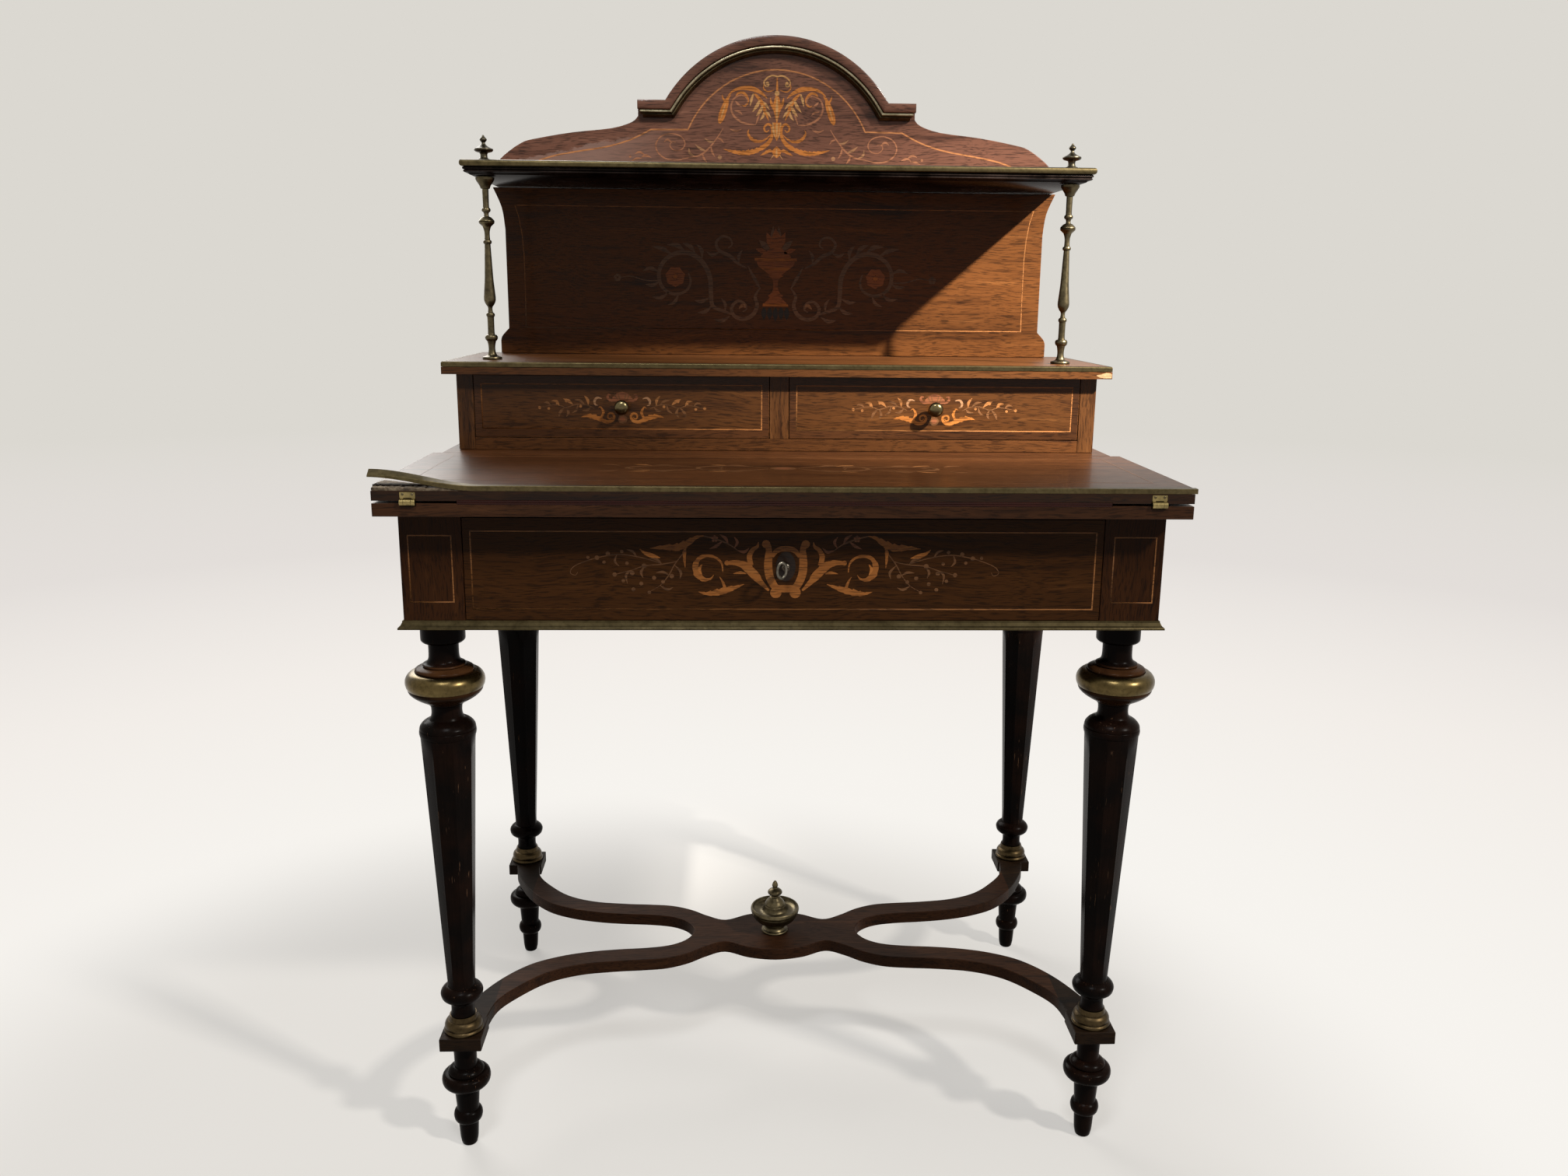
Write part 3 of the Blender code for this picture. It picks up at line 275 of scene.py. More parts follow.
def hide(name):
    """Old red leather: pebbled, faded in the middle and darker in its hollows."""
    f = Finish(name, gloss=0.2)
    spot = f.place()
    cells = f.add("TexVoronoi", {"Vector": spot, "Scale": 900.0}).outputs["Distance"]
    faded = f.noise(spot, 9.0, 4.0).outputs[0]
    colour = f.ramp(faded, ((0.35, (0.085, 0.015, 0.010)), (0.68, (0.20, 0.045, 0.026))))
    colour = f.mix("MULTIPLY", 0.5, colour, f.ramp(cells, ((0.0, 0.6), (0.5, 1.0))))
    upright = f.add("SeparateXYZ", {"Vector": f.add("TexCoord", {}).outputs["Normal"]}).outputs["Z"]
    level = f.add("Math", {0: upright}, operation="ABSOLUTE").outputs[0]
    colour = f.mix("MULTIPLY", 1.0, colour, f.ramp(level, ((0.30, 0.16), (0.80, 1.0))))
    return f.finish(colour, f.scaled(faded, 0.50, 0.66), cells, 0.25, 0.0003)


def splintered(name):
    """Bare torn wood and old glue where the strip has come away."""
    f = Finish(name)
    spot = f.place()
    fibre = f.noise(f.stretch(spot, (60.0, 420.0, 420.0)), 1.0, 5.0).outputs[0]
    lumps = f.noise(spot, 210.0, 4.0).outputs[0]
    colour = f.ramp(lumps, ((0.34, (0.045, 0.028, 0.016)), (0.52, (0.16, 0.115, 0.070)), (0.70, (0.30, 0.235, 0.155))))
    colour = f.mix("MULTIPLY", 0.6, colour, f.ramp(fibre, ((0.30, 0.45), (0.60, 1.1))))
    return f.finish(colour, 0.85, lumps, 0.6, 0.0008)


STAIN = (0.36, 0.46, 0.50, 1.0)
ROSE_DARK = (0.030, 0.0102, 0.0040)
ROSE_MIDDLE = (0.108, 0.0390, 0.0112)
ROSE_LIGHT = (0.200, 0.0780, 0.0240)
PLAIN = ((0.045, 0.019, 0.008), (0.115, 0.054, 0.023), (0.19, 0.095, 0.042))
SHELF_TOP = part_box("shelf")[1].z
CREST_BLOOM = ((0.385, 0.245, 0.195), 0.225, SHELF_TOP + 0.092, (-0.230, -0.120))
# The crest's rosewood is lighter and greyer than the case's: partly its own paler wood, partly a painted sheen.
crest_wood_and_sheen = wood("rosewood_crest_with_painted_sheen", (0.056, 0.0222, 0.0138), (0.185, 0.079, 0.0490), (0.300, 0.136, 0.086),
                  coat=0.22, reverse=PLAIN, bloom=CREST_BLOOM)
panel_wood = wood("rosewood_panel", (0.038, 0.0126, 0.0040), (0.142, 0.050, 0.0132), (0.250, 0.095, 0.027), shift=(0.3, 0.0, 0.21),
                  coat=0.03, gloss=0.13, reverse=PLAIN)
case_wood = wood("rosewood_case", ROSE_DARK, ROSE_MIDDLE, ROSE_LIGHT, shift=(0.7, 0.4, 0.05))
front_wood = wood("rosewood_drawers", (0.022, 0.0076, 0.0030), (0.084, 0.0303, 0.0080), (0.160, 0.063, 0.0176), shift=(1.3, 0.1, 0.33))
# A darker copy of the rosewood for the writing drawer and rails under the leaf: its darkness is painted shade, its hue
# and grain are its own.
shaded_apron_wood = wood("rosewood_apron_painted_shade", (0.018, 0.0062, 0.0019), (0.060, 0.0212, 0.0050), (0.110, 0.041, 0.0108), shift=(2.1, 0.6, 0.47), coat=0.03, gloss=0.06)
# The leaf's front and side edges are darkened by edge=0.46 as painted shade; the top keeps its own rosewood tone.
leaf_wood_shaded_sides = wood("rosewood_leaf_painted_side_shade", (0.020, 0.0069, 0.0027), (0.071, 0.0247, 0.0076), (0.125, 0.048, 0.0161), shift=(0.2, 0.9, 0.61), coat=0.11, gloss=0.12, edge=0.46)
# A darker copy of the rosewood for the lower leaf, whose front edge lies under the upper leaf: its darkness is painted
# shade.
shaded_edge_wood = wood("rosewood_edge_painted_shade", (0.018, 0.0066, 0.0030), (0.055, 0.0210, 0.0085), (0.100, 0.040, 0.0165), shift=(0.4, 0.7, 0.2), coat=0.03, gloss=0.10)
# A darker copy of the upright rosewood for the corner posts under the leaf: its darkness is painted shade.
shaded_upright_wood = wood("rosewood_upright_painted_shade", (0.016, 0.0052, 0.0018), (0.050, 0.0165, 0.0044), (0.090, 0.032, 0.0092), grain="Z", coat=0.03, gloss=0.06)
case_upright = wood("rosewood_stile", ROSE_DARK, (0.105, 0.040, 0.0120), (0.185, 0.075, 0.024), grain="Z", shift=(0.2, 0.5, 0.9))
side_wood = wood("rosewood_side", (0.022, 0.0080, 0.0035), (0.066, 0.0250, 0.0095), (0.115, 0.046, 0.0175), grain="Y", shift=(0.5, 0.2, 0.8))
border_wood = wood("rosewood_border", (0.020, 0.0070, 0.0030), (0.062, 0.0225, 0.0075), (0.110, 0.042, 0.0140), shift=(0.9, 0.3, 0.1))
back_wood = wood("walnut_back", *PLAIN, coat=0.0, rough=(0.5, 0.7))
walnut_wood = wood("walnut_stretcher", (0.012, 0.0048, 0.0025), (0.042, 0.0166, 0.0071), (0.086, 0.0360, 0.0150), shift=(0.1, 0.2, 0.4), coat=0.0,
                   rough=(0.45, 0.60), gloss=0.07, ends=0.331)
oak_wood = wood("oak_lining", (0.17, 0.09, 0.036), (0.33, 0.195, 0.085), (0.47, 0.30, 0.145), grain="X", coat=0.0, rough=(0.6, 0.8))
oak_side = wood("oak_sides", (0.17, 0.09, 0.036), (0.33, 0.195, 0.085), (0.47, 0.30, 0.145), grain="Y", coat=0.0, rough=(0.6, 0.8))
APRON_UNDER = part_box("corner_post_front_left")[0].z
BROWN_RINGS = tuple((APRON_UNDER - low * MM, APRON_UNDER - high * MM) for low, high in ((88.0, 69.0), (54.0, 44.0)))
black_wood = ebony("ebonised_wood", (0.015, 0.0062, 0.0036), bands=BROWN_RINGS)
black_plain = ebony("ebonised_moulding", (0.016, 0.0085, 0.0055), 0.3)
reed_black = ebony("ebonised_reeds", (0.040, 0.028, 0.024), 0.3)
knob_brass = metal("knob_brass", (0.235, 0.185, 0.092), (0.085, 0.066, 0.032), (0.18, 0.32))
bead_brass = metal("polished_bead_brass", (0.480, 0.425, 0.290), (0.190, 0.162, 0.096), (0.24, 0.40))
old_brass = metal("aged_brass", (0.128, 0.099, 0.047), (0.062, 0.047, 0.022), (0.30, 0.44))
apron_brass = metal("apron_brass", (0.088, 0.068, 0.033), (0.040, 0.030, 0.014), (0.30, 0.44))
dark_brass = metal("bronzed_brass", (0.158, 0.127, 0.070), (0.048, 0.038, 0.022), (0.30, 0.46), 80.0)
finial_brass = metal("finial_brass", (0.092, 0.079, 0.052), (0.028, 0.023, 0.015), (0.30, 0.46), 80.0)
gilt_brass = metal("gilt_brass", (0.150, 0.108, 0.043), (0.066, 0.046, 0.019), (0.22, 0.36), 30.0)
bell_brass = metal("bell_brass", (0.088, 0.061, 0.029), (0.034, 0.023, 0.011), (0.30, 0.48), 60.0)
bright_brass = metal("rubbed_brass", (0.400, 0.310, 0.130), (0.160, 0.122, 0.052), (0.20, 0.38))
steel = metal("worn_iron", (0.200, 0.180, 0.145), (0.060, 0.052, 0.040), (0.25, 0.45), 140.0)
red_leather = hide("red_leather")
torn_wood = splintered("torn_wood")
bare_wood = wood("bare_chip_wood", (0.30, 0.16, 0.070), (0.50, 0.31, 0.155), (0.62, 0.42, 0.24), coat=0.0, rough=(0.6, 0.8))

# Inlay tones
TONES = {
    "amber": wood("inlay_amber", (0.33, 0.108, 0.024), (0.60, 0.215, 0.050), (0.74, 0.31, 0.090), fine=1.6),
    "honey": wood("inlay_honey", (0.24, 0.078, 0.0170), (0.43, 0.152, 0.0340), (0.54, 0.220, 0.060), fine=1.6),
    "light": wood("inlay_boxwood", (0.42, 0.195, 0.070), (0.64, 0.34, 0.130), (0.76, 0.46, 0.20), fine=1.6),
    "rose": wood("inlay_rose", (0.150, 0.050, 0.022), (0.280, 0.098, 0.042), (0.38, 0.15, 0.070), fine=1.6),
    "urn": wood("inlay_urn", (0.22, 0.070, 0.022), (0.44, 0.150, 0.048), (0.56, 0.21, 0.078), fine=1.6),
    "faint": wood("inlay_faint", (0.27, 0.110, 0.056), (0.430, 0.185, 0.095), (0.53, 0.24, 0.130), fine=1.6),
    "scroll": wood("inlay_scroll", (0.135, 0.068, 0.036), (0.235, 0.128, 0.072), (0.31, 0.18, 0.105), fine=1.6),
    "dusk": wood("inlay_dusk", (0.100, 0.042, 0.016), (0.185, 0.080, 0.031), (0.25, 0.115, 0.048), fine=1.6),
    "pale": wood("inlay_pale", (0.26, 0.125, 0.058), (0.42, 0.215, 0.105), (0.52, 0.29, 0.15), fine=1.6),
    "line": wood("inlay_line", (0.38, 0.148, 0.054), (0.56, 0.232, 0.090), (0.66, 0.30, 0.125), fine=1.6),
    "string": wood("inlay_string", (0.26, 0.102, 0.032), (0.40, 0.164, 0.053), (0.48, 0.21, 0.073), fine=1.6),
    "shade": wood("inlay_shade", (0.010, 0.0050, 0.0030), (0.024, 0.0120, 0.0070), (0.05, 0.025, 0.014), fine=1.6),
    "border": border_wood,
}


# Mesh helpers


def smooth(points, steps):
    """A smooth line through points of any number of values."""
    if len(points) < 3:
        steps = 1
    line = [points[0], *points, points[-1]]
    found = []
    for p, q, r, s in zip(line, line[1:], line[2:], line[3:]):
        for i in range(steps):
            t = i / steps
            found.append(tuple(
                0.5 * (2 * b + (c - a) * t + (2 * a - 5 * b + 4 * c - d) * t * t + (3 * b - a - 3 * c + d) * t ** 3)
                for a, b, c, d in zip(p, q, r, s)))
    return [*found, tuple(points[-1])]


def add_piece(name, bm, mat, body, replaces=(), sharp=35):
    """A finished mesh that rides on a body and takes its finish from a slot."""
    bmesh.ops.recalc_face_normals(bm, faces=bm.faces)
    mesh = bpy.data.meshes.new(name)
    bm.to_mesh(mesh)
    bm.free()
    mesh.shade_smooth()
    mesh.set_sharp_from_angle(angle=radians(sharp))
    mesh.materials.append(mat)
    made = bpy.data.objects.new(name, mesh)
    bpy.context.scene.collection.objects.link(made)
    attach(made, body)
    if replaces:
        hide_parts(*replaces)
    return made


def soften(made, width):
    """Rounds the sharp edges by a width in millimetres."""
    bevel = made.modifiers.new("bevel", "BEVEL")
    bevel.width = width * MM
    bevel.segments = 3
    bevel.limit_method = "ANGLE"
    bevel.angle_limit = radians(40)
    bevel.use_clamp_overlap = True


def bridge(bm, rings, closed=False):
    """Faces between rings of corners; a ring of one corner is a pole."""
    pairs = list(zip(rings, rings[1:]))
    if closed:
        pairs.append((rings[-1], rings[0]))
    for a, b in pairs:
        count = max(len(a), len(b))
        for j in range(count):
            k = (j + 1) % count
            if len(a) == 1:
                bm.faces.new((a[0], b[k], b[j]))
            elif len(b) == 1:
                bm.faces.new((a[j], a[k], b[0]))
            else:
                bm.faces.new((a[j], a[k], b[k], b[j]))
    if not closed:
        for ring in (rings[0], rings[-1]):
            if len(ring) > 2:
                bm.faces.new(ring)


def spun(outline, at, segments=48, closed=False, reach=None):
    """A turned solid from (radius, height) points; reach scales the radius by angle and height."""
    bm = bmesh.new()
    rings = []
    for r, h in outline:
        if r < 1e-6:
            rings.append([bm.verts.new((0.0, 0.0, h))])
            continue
        ring = []
        for i in range(segments):
            angle = 2 * pi * i / segments
            radius = r * reach(angle, h) if reach else r
            ring.append(bm.verts.new((radius * cos(angle), radius * sin(angle), h)))
        rings.append(ring)
    bridge(bm, rings, closed)
    bm.transform(Matrix.Translation(at))
    return bm


def outline(runs, base=0.0, way=1, steps=5):
    """Runs of (radius, height) millimetres, each smooth, meeting at sharp corners."""
    points = []
    for run in runs:
        points += smooth(run, steps)
    return [(max(r, 0.0) * MM, base + way * h * MM) for r, h in points]


def bar(path, section):
    """A section of (out, up) corners run along a path of (x, y, up) points, mitred where the path turns."""
    flat = [Vector(p[:2]) for p in path]
    ways = [(b - a).normalized() for a, b in zip(flat, flat[1:])]
    sides = [Vector((way.y, -way.x)) for way in ways]
    bm = bmesh.new()
    rings = []
    for i, point in enumerate(path):
        before = sides[max(i - 1, 0)]
        after = sides[min(i, len(sides) - 1)]
        mitre = (before + after) / (1 + before.dot(after))
        corners = []
        for out, up in section:
            spot = flat[i] + mitre * out
            corners.append(bm.verts.new((spot.x, spot.y, point[2] + up)))
        rings.append(corners)
    bridge(bm, rings)
    return bm


def three_sides(node):
    """The path along a board's left side, front and right side."""
    low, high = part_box(node)
    return [(low.x, high.y, 0.0), (low.x, low.y, 0.0), (high.x, low.y, 0.0), (high.x, high.y, 0.0)]


def half_round(out, up, radius, count=8):
    """Corners of a half-round section whose flat lies at out."""
    turns = [pi * i / count - pi / 2 for i in range(count + 1)]
    return [(out + radius * cos(turn), up + radius * sin(turn)) for turn in turns]


# Legs and feet: runs of (radius, distance below the apron), then (radius, height above the stretcher)
LEG_HEAD = (
    ((0.0, 0.3), (22.9, 0.3)),
    ((22.9, 0.3), (22.9, 16.6), (22.2, 19.4), (20.6, 21.0)),
    ((15.7, 21.4), (15.5, 29.0), (15.7, 36.5), (16.6, 40.4), (18.8, 43.0), (21.2, 44.2)),
    ((21.8, 44.6), (22.4, 45.8), (21.6, 47.0)),
    ((24.0, 47.4), (28.4, 48.8), (30.4, 50.6), (30.2, 52.4)),
    ((28.6, 52.6), (30.6, 55.0)),
    ((30.6, 56.0), (34.6, 70.4)),
    ((38.4, 70.6), (38.6, 72.4), (37.0, 75.4), (32.6, 79.4), (26.0, 83.6), (19.6, 86.8)),
    ((18.4, 87.2), (18.2, 88.6), (17.0, 89.2)),
    ((16.6, 89.6), (16.0, 93.5), (15.9, 98.0), (16.6, 102.0), (18.2, 104.8)),
    ((20.0, 105.6), (25.0, 108.6), (28.4, 112.6), (29.3, 116.0)),
    ((28.7, 116.3), (29.4, 117.2), (29.7, 120.0), (29.2, 123.0)),
    ((28.6, 123.4), (28.6, 124.4)),
)
LEG_FOOT = (
    ((15.0, 57.0), (15.2, 55.8)),
    ((17.0, 55.2), (20.6, 52.4), (22.9, 48.6), (22.9, 45.2), (21.6, 41.6), (18.6, 38.8)),
    ((14.6, 38.2), (12.9, 34.0), (12.5, 29.0), (12.7, 24.0), (13.6, 20.8)),
    ((9.0, 20.4), (9.0, 0.4)),
    ((9.0, 0.4), (0.0, 0.4)),
)
BELT = (
    ((30.8, 52.6), (34.4, 53.3), (37.9, 55.8), (40.3, 59.6), (41.0, 63.6), (40.5, 67.4), (39.2, 70.4)),
    ((34.8, 70.4), (31.0, 56.0), (30.8, 52.6)),
)
BELL = (
    ((21.4, 0.5), (21.7, 2.4), (20.8, 4.0)),
    ((20.0, 4.6), (20.6, 7.6), (19.6, 11.2), (17.4, 13.8)),
    ((16.0, 14.4), (15.8, 16.4), (14.6, 20.0)),
    ((9.2, 20.0), (9.2, 0.5)),
)
FOOT = (
    ((0.0, 0.0), (6.2, 0.0)),
    ((6.2, 0.0), (8.2, 1.2), (9.0, 3.6), (10.0, 9.0), (10.7, 20.0), (11.2, 29.6)),
    ((12.6, 30.2), (15.0, 33.2), (16.0, 37.0), (16.0, 40.0), (15.0, 43.4), (13.2, 45.4)),
    ((12.4, 46.0), (12.4, 50.0), (13.2, 62.0), (14.0, 73.4)),
    ((15.4, 74.0), (21.4, 76.0), (25.8, 80.4), (27.0, 85.4), (26.0, 90.0), (23.0, 92.4)),
    ((19.8, 92.8), (19.9, 95.6), (17.6, 98.6), (14.6, 100.6)),
    ((12.7, 101.2), (12.5, 108.0), (12.9, 120.0), (14.2, 130.6)),
    ((14.2, 130.6), (0.0, 130.6)),
)
FLUTES = 8
FLUTE_DEPTH = 0.070
FLUTE_FADE = 0.014
LEG_SEGMENTS = 96


def shaft_reach(low, high):
    """Hollows between sharp ridges, running out before the shaft's ends."""

    def reach(angle, height):
        room = min(height - low, high - height)
        if room <= 0:
            return 1.0
        t = min(room / FLUTE_FADE, 1.0)
        hollow = abs(cos(FLUTES * angle / 2)) ** 0.75
        return 1.0 - FLUTE_DEPTH * t * t * (3 - 2 * t) * hollow

    return reach


def build_legs():
    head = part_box("corner_post_front_left")[0].z
    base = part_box("stretcher")[1].z
    upper = outline(LEG_HEAD, head, -1)
    lower = outline(LEG_FOOT, base)
    (r_high, high), (r_low, low) = upper[-1], lower[0]
    count = 26
    shaft = [(r_high + (r_low - r_high) * i / count, high + (low - high) * i / count) for i in range(1, count)]
    for corner in CORNERS:
        low_corner, high_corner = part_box("foot_" + corner)
        middle = (low_corner + high_corner) / 2
        at = (middle.x, middle.y, 0.0)
        bm = spun(upper + shaft + lower, at, LEG_SEGMENTS, reach=shaft_reach(low, high))
        add_piece("turned_leg_" + corner, bm, black_wood, "frame", ["leg_" + corner])
        bm = spun(outline(BELT, head, -1), at, 64, closed=True)
        add_piece("leg_belt_" + corner, bm, gilt_brass, "frame")
        bm = spun(outline(BELL, base), at, 48, closed=True)
        add_piece("leg_bell_" + corner, bm, bell_brass, "frame")
        bm = spun(outline(FOOT), at, 48)
        add_piece("turned_foot_" + corner, bm, black_wood, "frame", ["foot_" + corner])


# Stretcher edges in millimetres from its middle, drawn for legs at 355 by 218
STRETCHER_DRAWN = (355.0, 218.0)
STRETCHER_BLOCK = 23.0
STRETCHER_OUTER = (
    (34.0, 43.6), (64.0, 29.0), (88.0, 40.4), (110.0, 57.0), (136.0, 68.6), (166.0, 72.8), (200.0, 75.6), (243.0, 83.0),
    (280.0, 101.0), (310.0, 133.0), (328.0, 162.0), (334.0, 195.0),
)
STRETCHER_INNER = (
    (108.0, 13.0), (118.0, 26.5), (136.0, 37.0), (163.0, 42.6), (200.0, 46.0), (235.0, 51.5), (270.0, 62.0), (305.0, 82.0),
    (336.0, 119.0), (359.0, 166.0), (366.0, 195.0),
)


def build_stretcher():
    """The shaped X of the stretcher with smoothly flowing edges."""
    low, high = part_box("stretcher")
    feet = [(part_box("foot_" + corner)[0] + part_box("foot_" + corner)[1]) / 2 for corner in CORNERS]
    leg_x = max(f.x for f in feet)
    reach = (max(f.y for f in feet) - min(f.y for f in feet)) / 2
    middle = (low.y + high.y) / 2
    front = smooth([*((-x, -y) for x, y in reversed(STRETCHER_OUTER)), (0, -50), *((x, -y) for x, y in STRETCHER_OUTER)], 5)
    right = smooth([*((x, -y) for x, y in reversed(STRETCHER_INNER)), (104.5, 0), *STRETCHER_INNER], 5)
    wide, deep = STRETCHER_DRAWN
    half = STRETCHER_BLOCK
    block = [(wide - half, deep - half), (wide - half, deep + half), (wide + half, deep + half), (wide + half, deep - half)]
    half_edge = front + [(x, -y) for x, y in block] + right + [(x, y) for x, y in reversed(block)]
    edge = half_edge + [(-x, -y) for x, y in half_edge]
    bm = bmesh.new()
    rings = []
    for z in (low.z, high.z):
        rings.append([bm.verts.new((x * leg_x / wide, middle + y * reach / deep, z)) for x, y in edge])
    bridge(bm, rings)
    made = add_piece("shaped_stretcher", bm, walnut_wood, "frame", ["stretcher"])
    soften(made, 1.6)


# Other turnings
URN = (
    ((0.0, 0.3), (16.8, 0.3)),
    ((16.8, 0.3), (17.2, 1.8), (16.4, 3.2)),
    ((14.0, 3.6), (12.4, 5.8), (12.2, 8.4), (13.4, 10.2)),
    ((15.4, 10.6), (19.4, 13.0), (25.8, 18.8), (29.4, 24.6), (30.4, 27.4)),
    ((29.4, 27.8), (31.0, 29.4), (31.1, 32.2), (30.2, 34.0)),
    ((28.6, 34.1), (26.8, 30.6), (22.4, 28.6), (17.4, 29.4), (14.8, 32.4), (13.6, 36.4)),
    ((13.2, 36.8), (12.8, 38.8), (10.8, 42.0), (8.2, 44.8), (6.6, 47.2)),
    ((5.4, 47.8), (5.1, 49.4), (6.8, 50.8), (9.0, 52.6), (9.3, 54.6), (7.8, 56.8), (5.2, 58.6)),
    ((3.6, 59.2), (3.1, 61.0), (3.8, 62.8), (3.4, 65.4), (1.9, 68.6), (0.0, 70.2)),
)
COLUMN = (
    ((0.0, 0.3), (11.5, 0.3)),
    ((11.5, 0.3), (11.7, 1.6), (11.2, 3.0)),
    ((9.0, 3.6), (6.0, 5.0), (4.6, 7.6), (3.9, 12.0), (4.2, 17.0), (5.2, 21.6)),
    ((6.2, 22.2), (7.2, 24.0), (7.4, 26.6), (6.2, 28.6)),
    ((4.3, 29.2), (3.9, 33.0), (3.9, 47.0), (4.2, 50.0)),
    ((4.9, 50.6), (5.0, 52.6), (4.4, 54.0)),
    ((3.0, 55.0), (2.5, 59.0), (3.0, 61.6), (4.5, 63.6), (6.3, 67.2), (6.9, 71.0), (6.5, 77.0), (5.6, 87.0)),
    ((5.6, 87.0), (5.0, 95.0), (4.2, 113.0), (3.4, 133.2)),
    ((4.4, 133.8), (5.0, 135.6), (4.4, 137.4)),
    ((3.3, 138.0), (3.0, 143.0), (3.3, 148.0), (4.8, 153.0)),
    ((5.4, 153.6), (8.4, 156.4), (9.2, 158.0)),
    ((8.4, 158.6), (9.2, 159.2), (7.6, 161.4), (5.2, 163.6)),
    ((3.0, 164.6), (2.7, 167.0), (3.4, 169.2)),
    ((4.6, 169.8), (5.2, 171.8), (4.6, 173.6)),
    ((3.6, 174.2), (3.5, 180.0), (3.7, 195.0)),
    ((5.2, 195.6), (5.8, 197.2), (6.8, 199.4), (8.6, 202.0), (10.4, 205.0)),
    ((10.8, 205.6), (10.8, 208.2)),
    ((10.8, 208.2), (0.0, 208.2)),
)
FINIAL = (
    ((0.0, 0.3), (7.7, 0.3)),
    ((7.7, 0.3), (7.8, 1.6), (7.0, 2.8)),
    ((5.4, 3.2), (4.3, 5.0), (4.1, 8.0), (4.9, 9.8)),
    ((6.4, 10.2), (9.6, 11.2), (10.9, 12.8), (10.6, 14.2)),
    ((9.4, 14.6), (6.4, 16.0), (3.6, 18.0), (2.3, 19.6), (1.9, 21.0)),
    ((2.4, 21.6), (3.6, 23.0), (4.1, 24.4), (3.4, 25.8), (1.9, 27.2), (1.2, 28.6), (0.8, 29.2), (0.0, 29.4)),
)
KNOB = (
    ((0.0, 0.3), (6.0, 0.3)),
    ((6.0, 0.3), (6.1, 1.1), (5.3, 1.8)),
    ((3.7, 2.1), (3.4, 3.6), (3.9, 5.2), (5.8, 6.6)),
    ((6.5, 7.0), (8.3, 9.2), (8.8, 11.4), (8.0, 13.9), (5.9, 15.9), (3.0, 16.9), (0.0, 17.2)),
)


def build_turnings():
    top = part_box("stretcher")[1].z
    low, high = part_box("stretcher")
    bm = spun(outline(URN), (0.0, (low.y + high.y) / 2, top), 64)
    add_piece("urn_finial", bm, dark_brass, "frame", ["stretcher_urn"])
    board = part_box("case_top_board")[1].z
    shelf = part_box("shelf")[1].z
    for side, way in SIDES:
        low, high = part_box("column_" + side)
        x, y = (low.x + high.x) / 2, (low.y + high.y) / 2
        bm = spun(outline(COLUMN), (x, y, board), 40)
        add_piece("turned_column_" + side, bm, dark_brass, "frame", ["column_" + side])
        bm = spun(outline(FINIAL), (x, y, shelf), 40)
        add_piece("turned_finial_" + side, bm, finial_brass, "frame", ["finial_" + side])
        low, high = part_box(side + "_drawer_front")
        middle = (low + high) / 2
        bm = spun(outline(KNOB), (0, 0, 0), 40)
        bm.transform(Matrix.Translation((middle.x, low.y, middle.z)) @ Matrix.Rotation(pi / 2, 4, "X"))
        add_piece("turned_knob_" + side, bm, knob_brass, side + "_drawer", [side + "_drawer_knob"])


# Key
KEY_SHAFT_OUT = 0.016
KEY_BOW_WIRE = 0.0015
KEY_BOW_HALF = (0.0056, 0.0078)
KEY_BOW_TURN = 35


def build_key():
    low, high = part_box("key")
    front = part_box("writing_drawer_front")[0].y
    hole = frame["joints"][[j["name"] for j in frame["joints"]].index("key_turn")]["pos_m"]
    depth = high.y - front
    collar = (
        ((0.0, -depth / MM), (2.6, -depth / MM)),
        ((2.6, -depth / MM), (2.6, 1.4)),
        ((3.6, 1.7), (4.3, 2.8), (4.3, 4.4), (3.4, 5.6)),
        ((2.7, 5.9), (2.4, 8.0), (2.7, 10.0)),
        ((3.3, 10.4), (3.5, 11.4), (3.0, 12.4)),
        ((2.5, 12.8), (2.2, 14.0), (1.8, KEY_SHAFT_OUT / MM)),
        ((1.8, KEY_SHAFT_OUT / MM), (0.0, KEY_SHAFT_OUT / MM)),
    )
    bm = spun(outline(collar), (0, 0, 0), 28)
    bm.transform(Matrix.Translation((hole[0], front, hole[2])) @ Matrix.Rotation(pi / 2, 4, "X"))
    turn = Matrix.Rotation(radians(KEY_BOW_TURN), 4, "Z")
    rings = []
    for i in range(36):
        a = 2 * pi * i / 36
        ring = []
        for j in range(12):
            b = 2 * pi * j / 12
            swell = 1.0 + 0.25 * sin(a) ** 2
            across = KEY_BOW_WIRE * swell * cos(b)
            x = (KEY_BOW_HALF[0] + across) * cos(a) - KEY_BOW_HALF[0]
            z = (KEY_BOW_HALF[1] + across) * sin(a)
            spot = turn @ Vector((x, KEY_BOW_WIRE * sin(b), z))
            ring.append(bm.verts.new(spot + Vector((hole[0], front - KEY_SHAFT_OUT, hole[2]))))
        rings.append(ring)
    bridge(bm, rings, closed=True)
    add_piece("bow_key", bm, steel, "key", ["key"])


# Mouldings
CREST_CAP = (
    (0.2, 1.6), (0.2, 22.4), (1.6, 23.8), (6.0, 24.0), (9.2, 23.6), (10.6, 22.2), (11.0, 20.4), (10.6, 0.3), (0.2, 0.3),
)
CREST_BEAD = (
    (11.0, 14.0), (11.2, 17.4), (11.9, 19.0), (13.0, 19.6), (14.1, 19.2), (14.9, 17.8), (15.1, 16.0), (15.0, 0.4), (11.0, 0.4),
)
CREST_COVE = (
    (15.5, 12.4), (15.7, 13.6), (16.5, 14.2), (17.4, 13.2), (18.0, 10.6), (18.8, 8.2), (19.6, 6.6), (20.0, 4.0), (20.0, 0.3),
    (15.5, 0.3),
)
CREST_OUT = 0.55
ARCH_HALF = 0.141
ARCH_RISE = 0.078
ARCH_STEPS = 56


def arch_path(half, rise, level, steps):
    """Points of an arch from its left foot to its right."""
    radius = (half ** 2 + rise ** 2) / (2 * rise)
    turn = asin(half / radius)
    middle = level + rise - radius
    angles = [turn * (2 * i / steps - 1) for i in range(steps + 1)]
    return [(radius * sin(a), middle + radius * cos(a)) for a in angles]


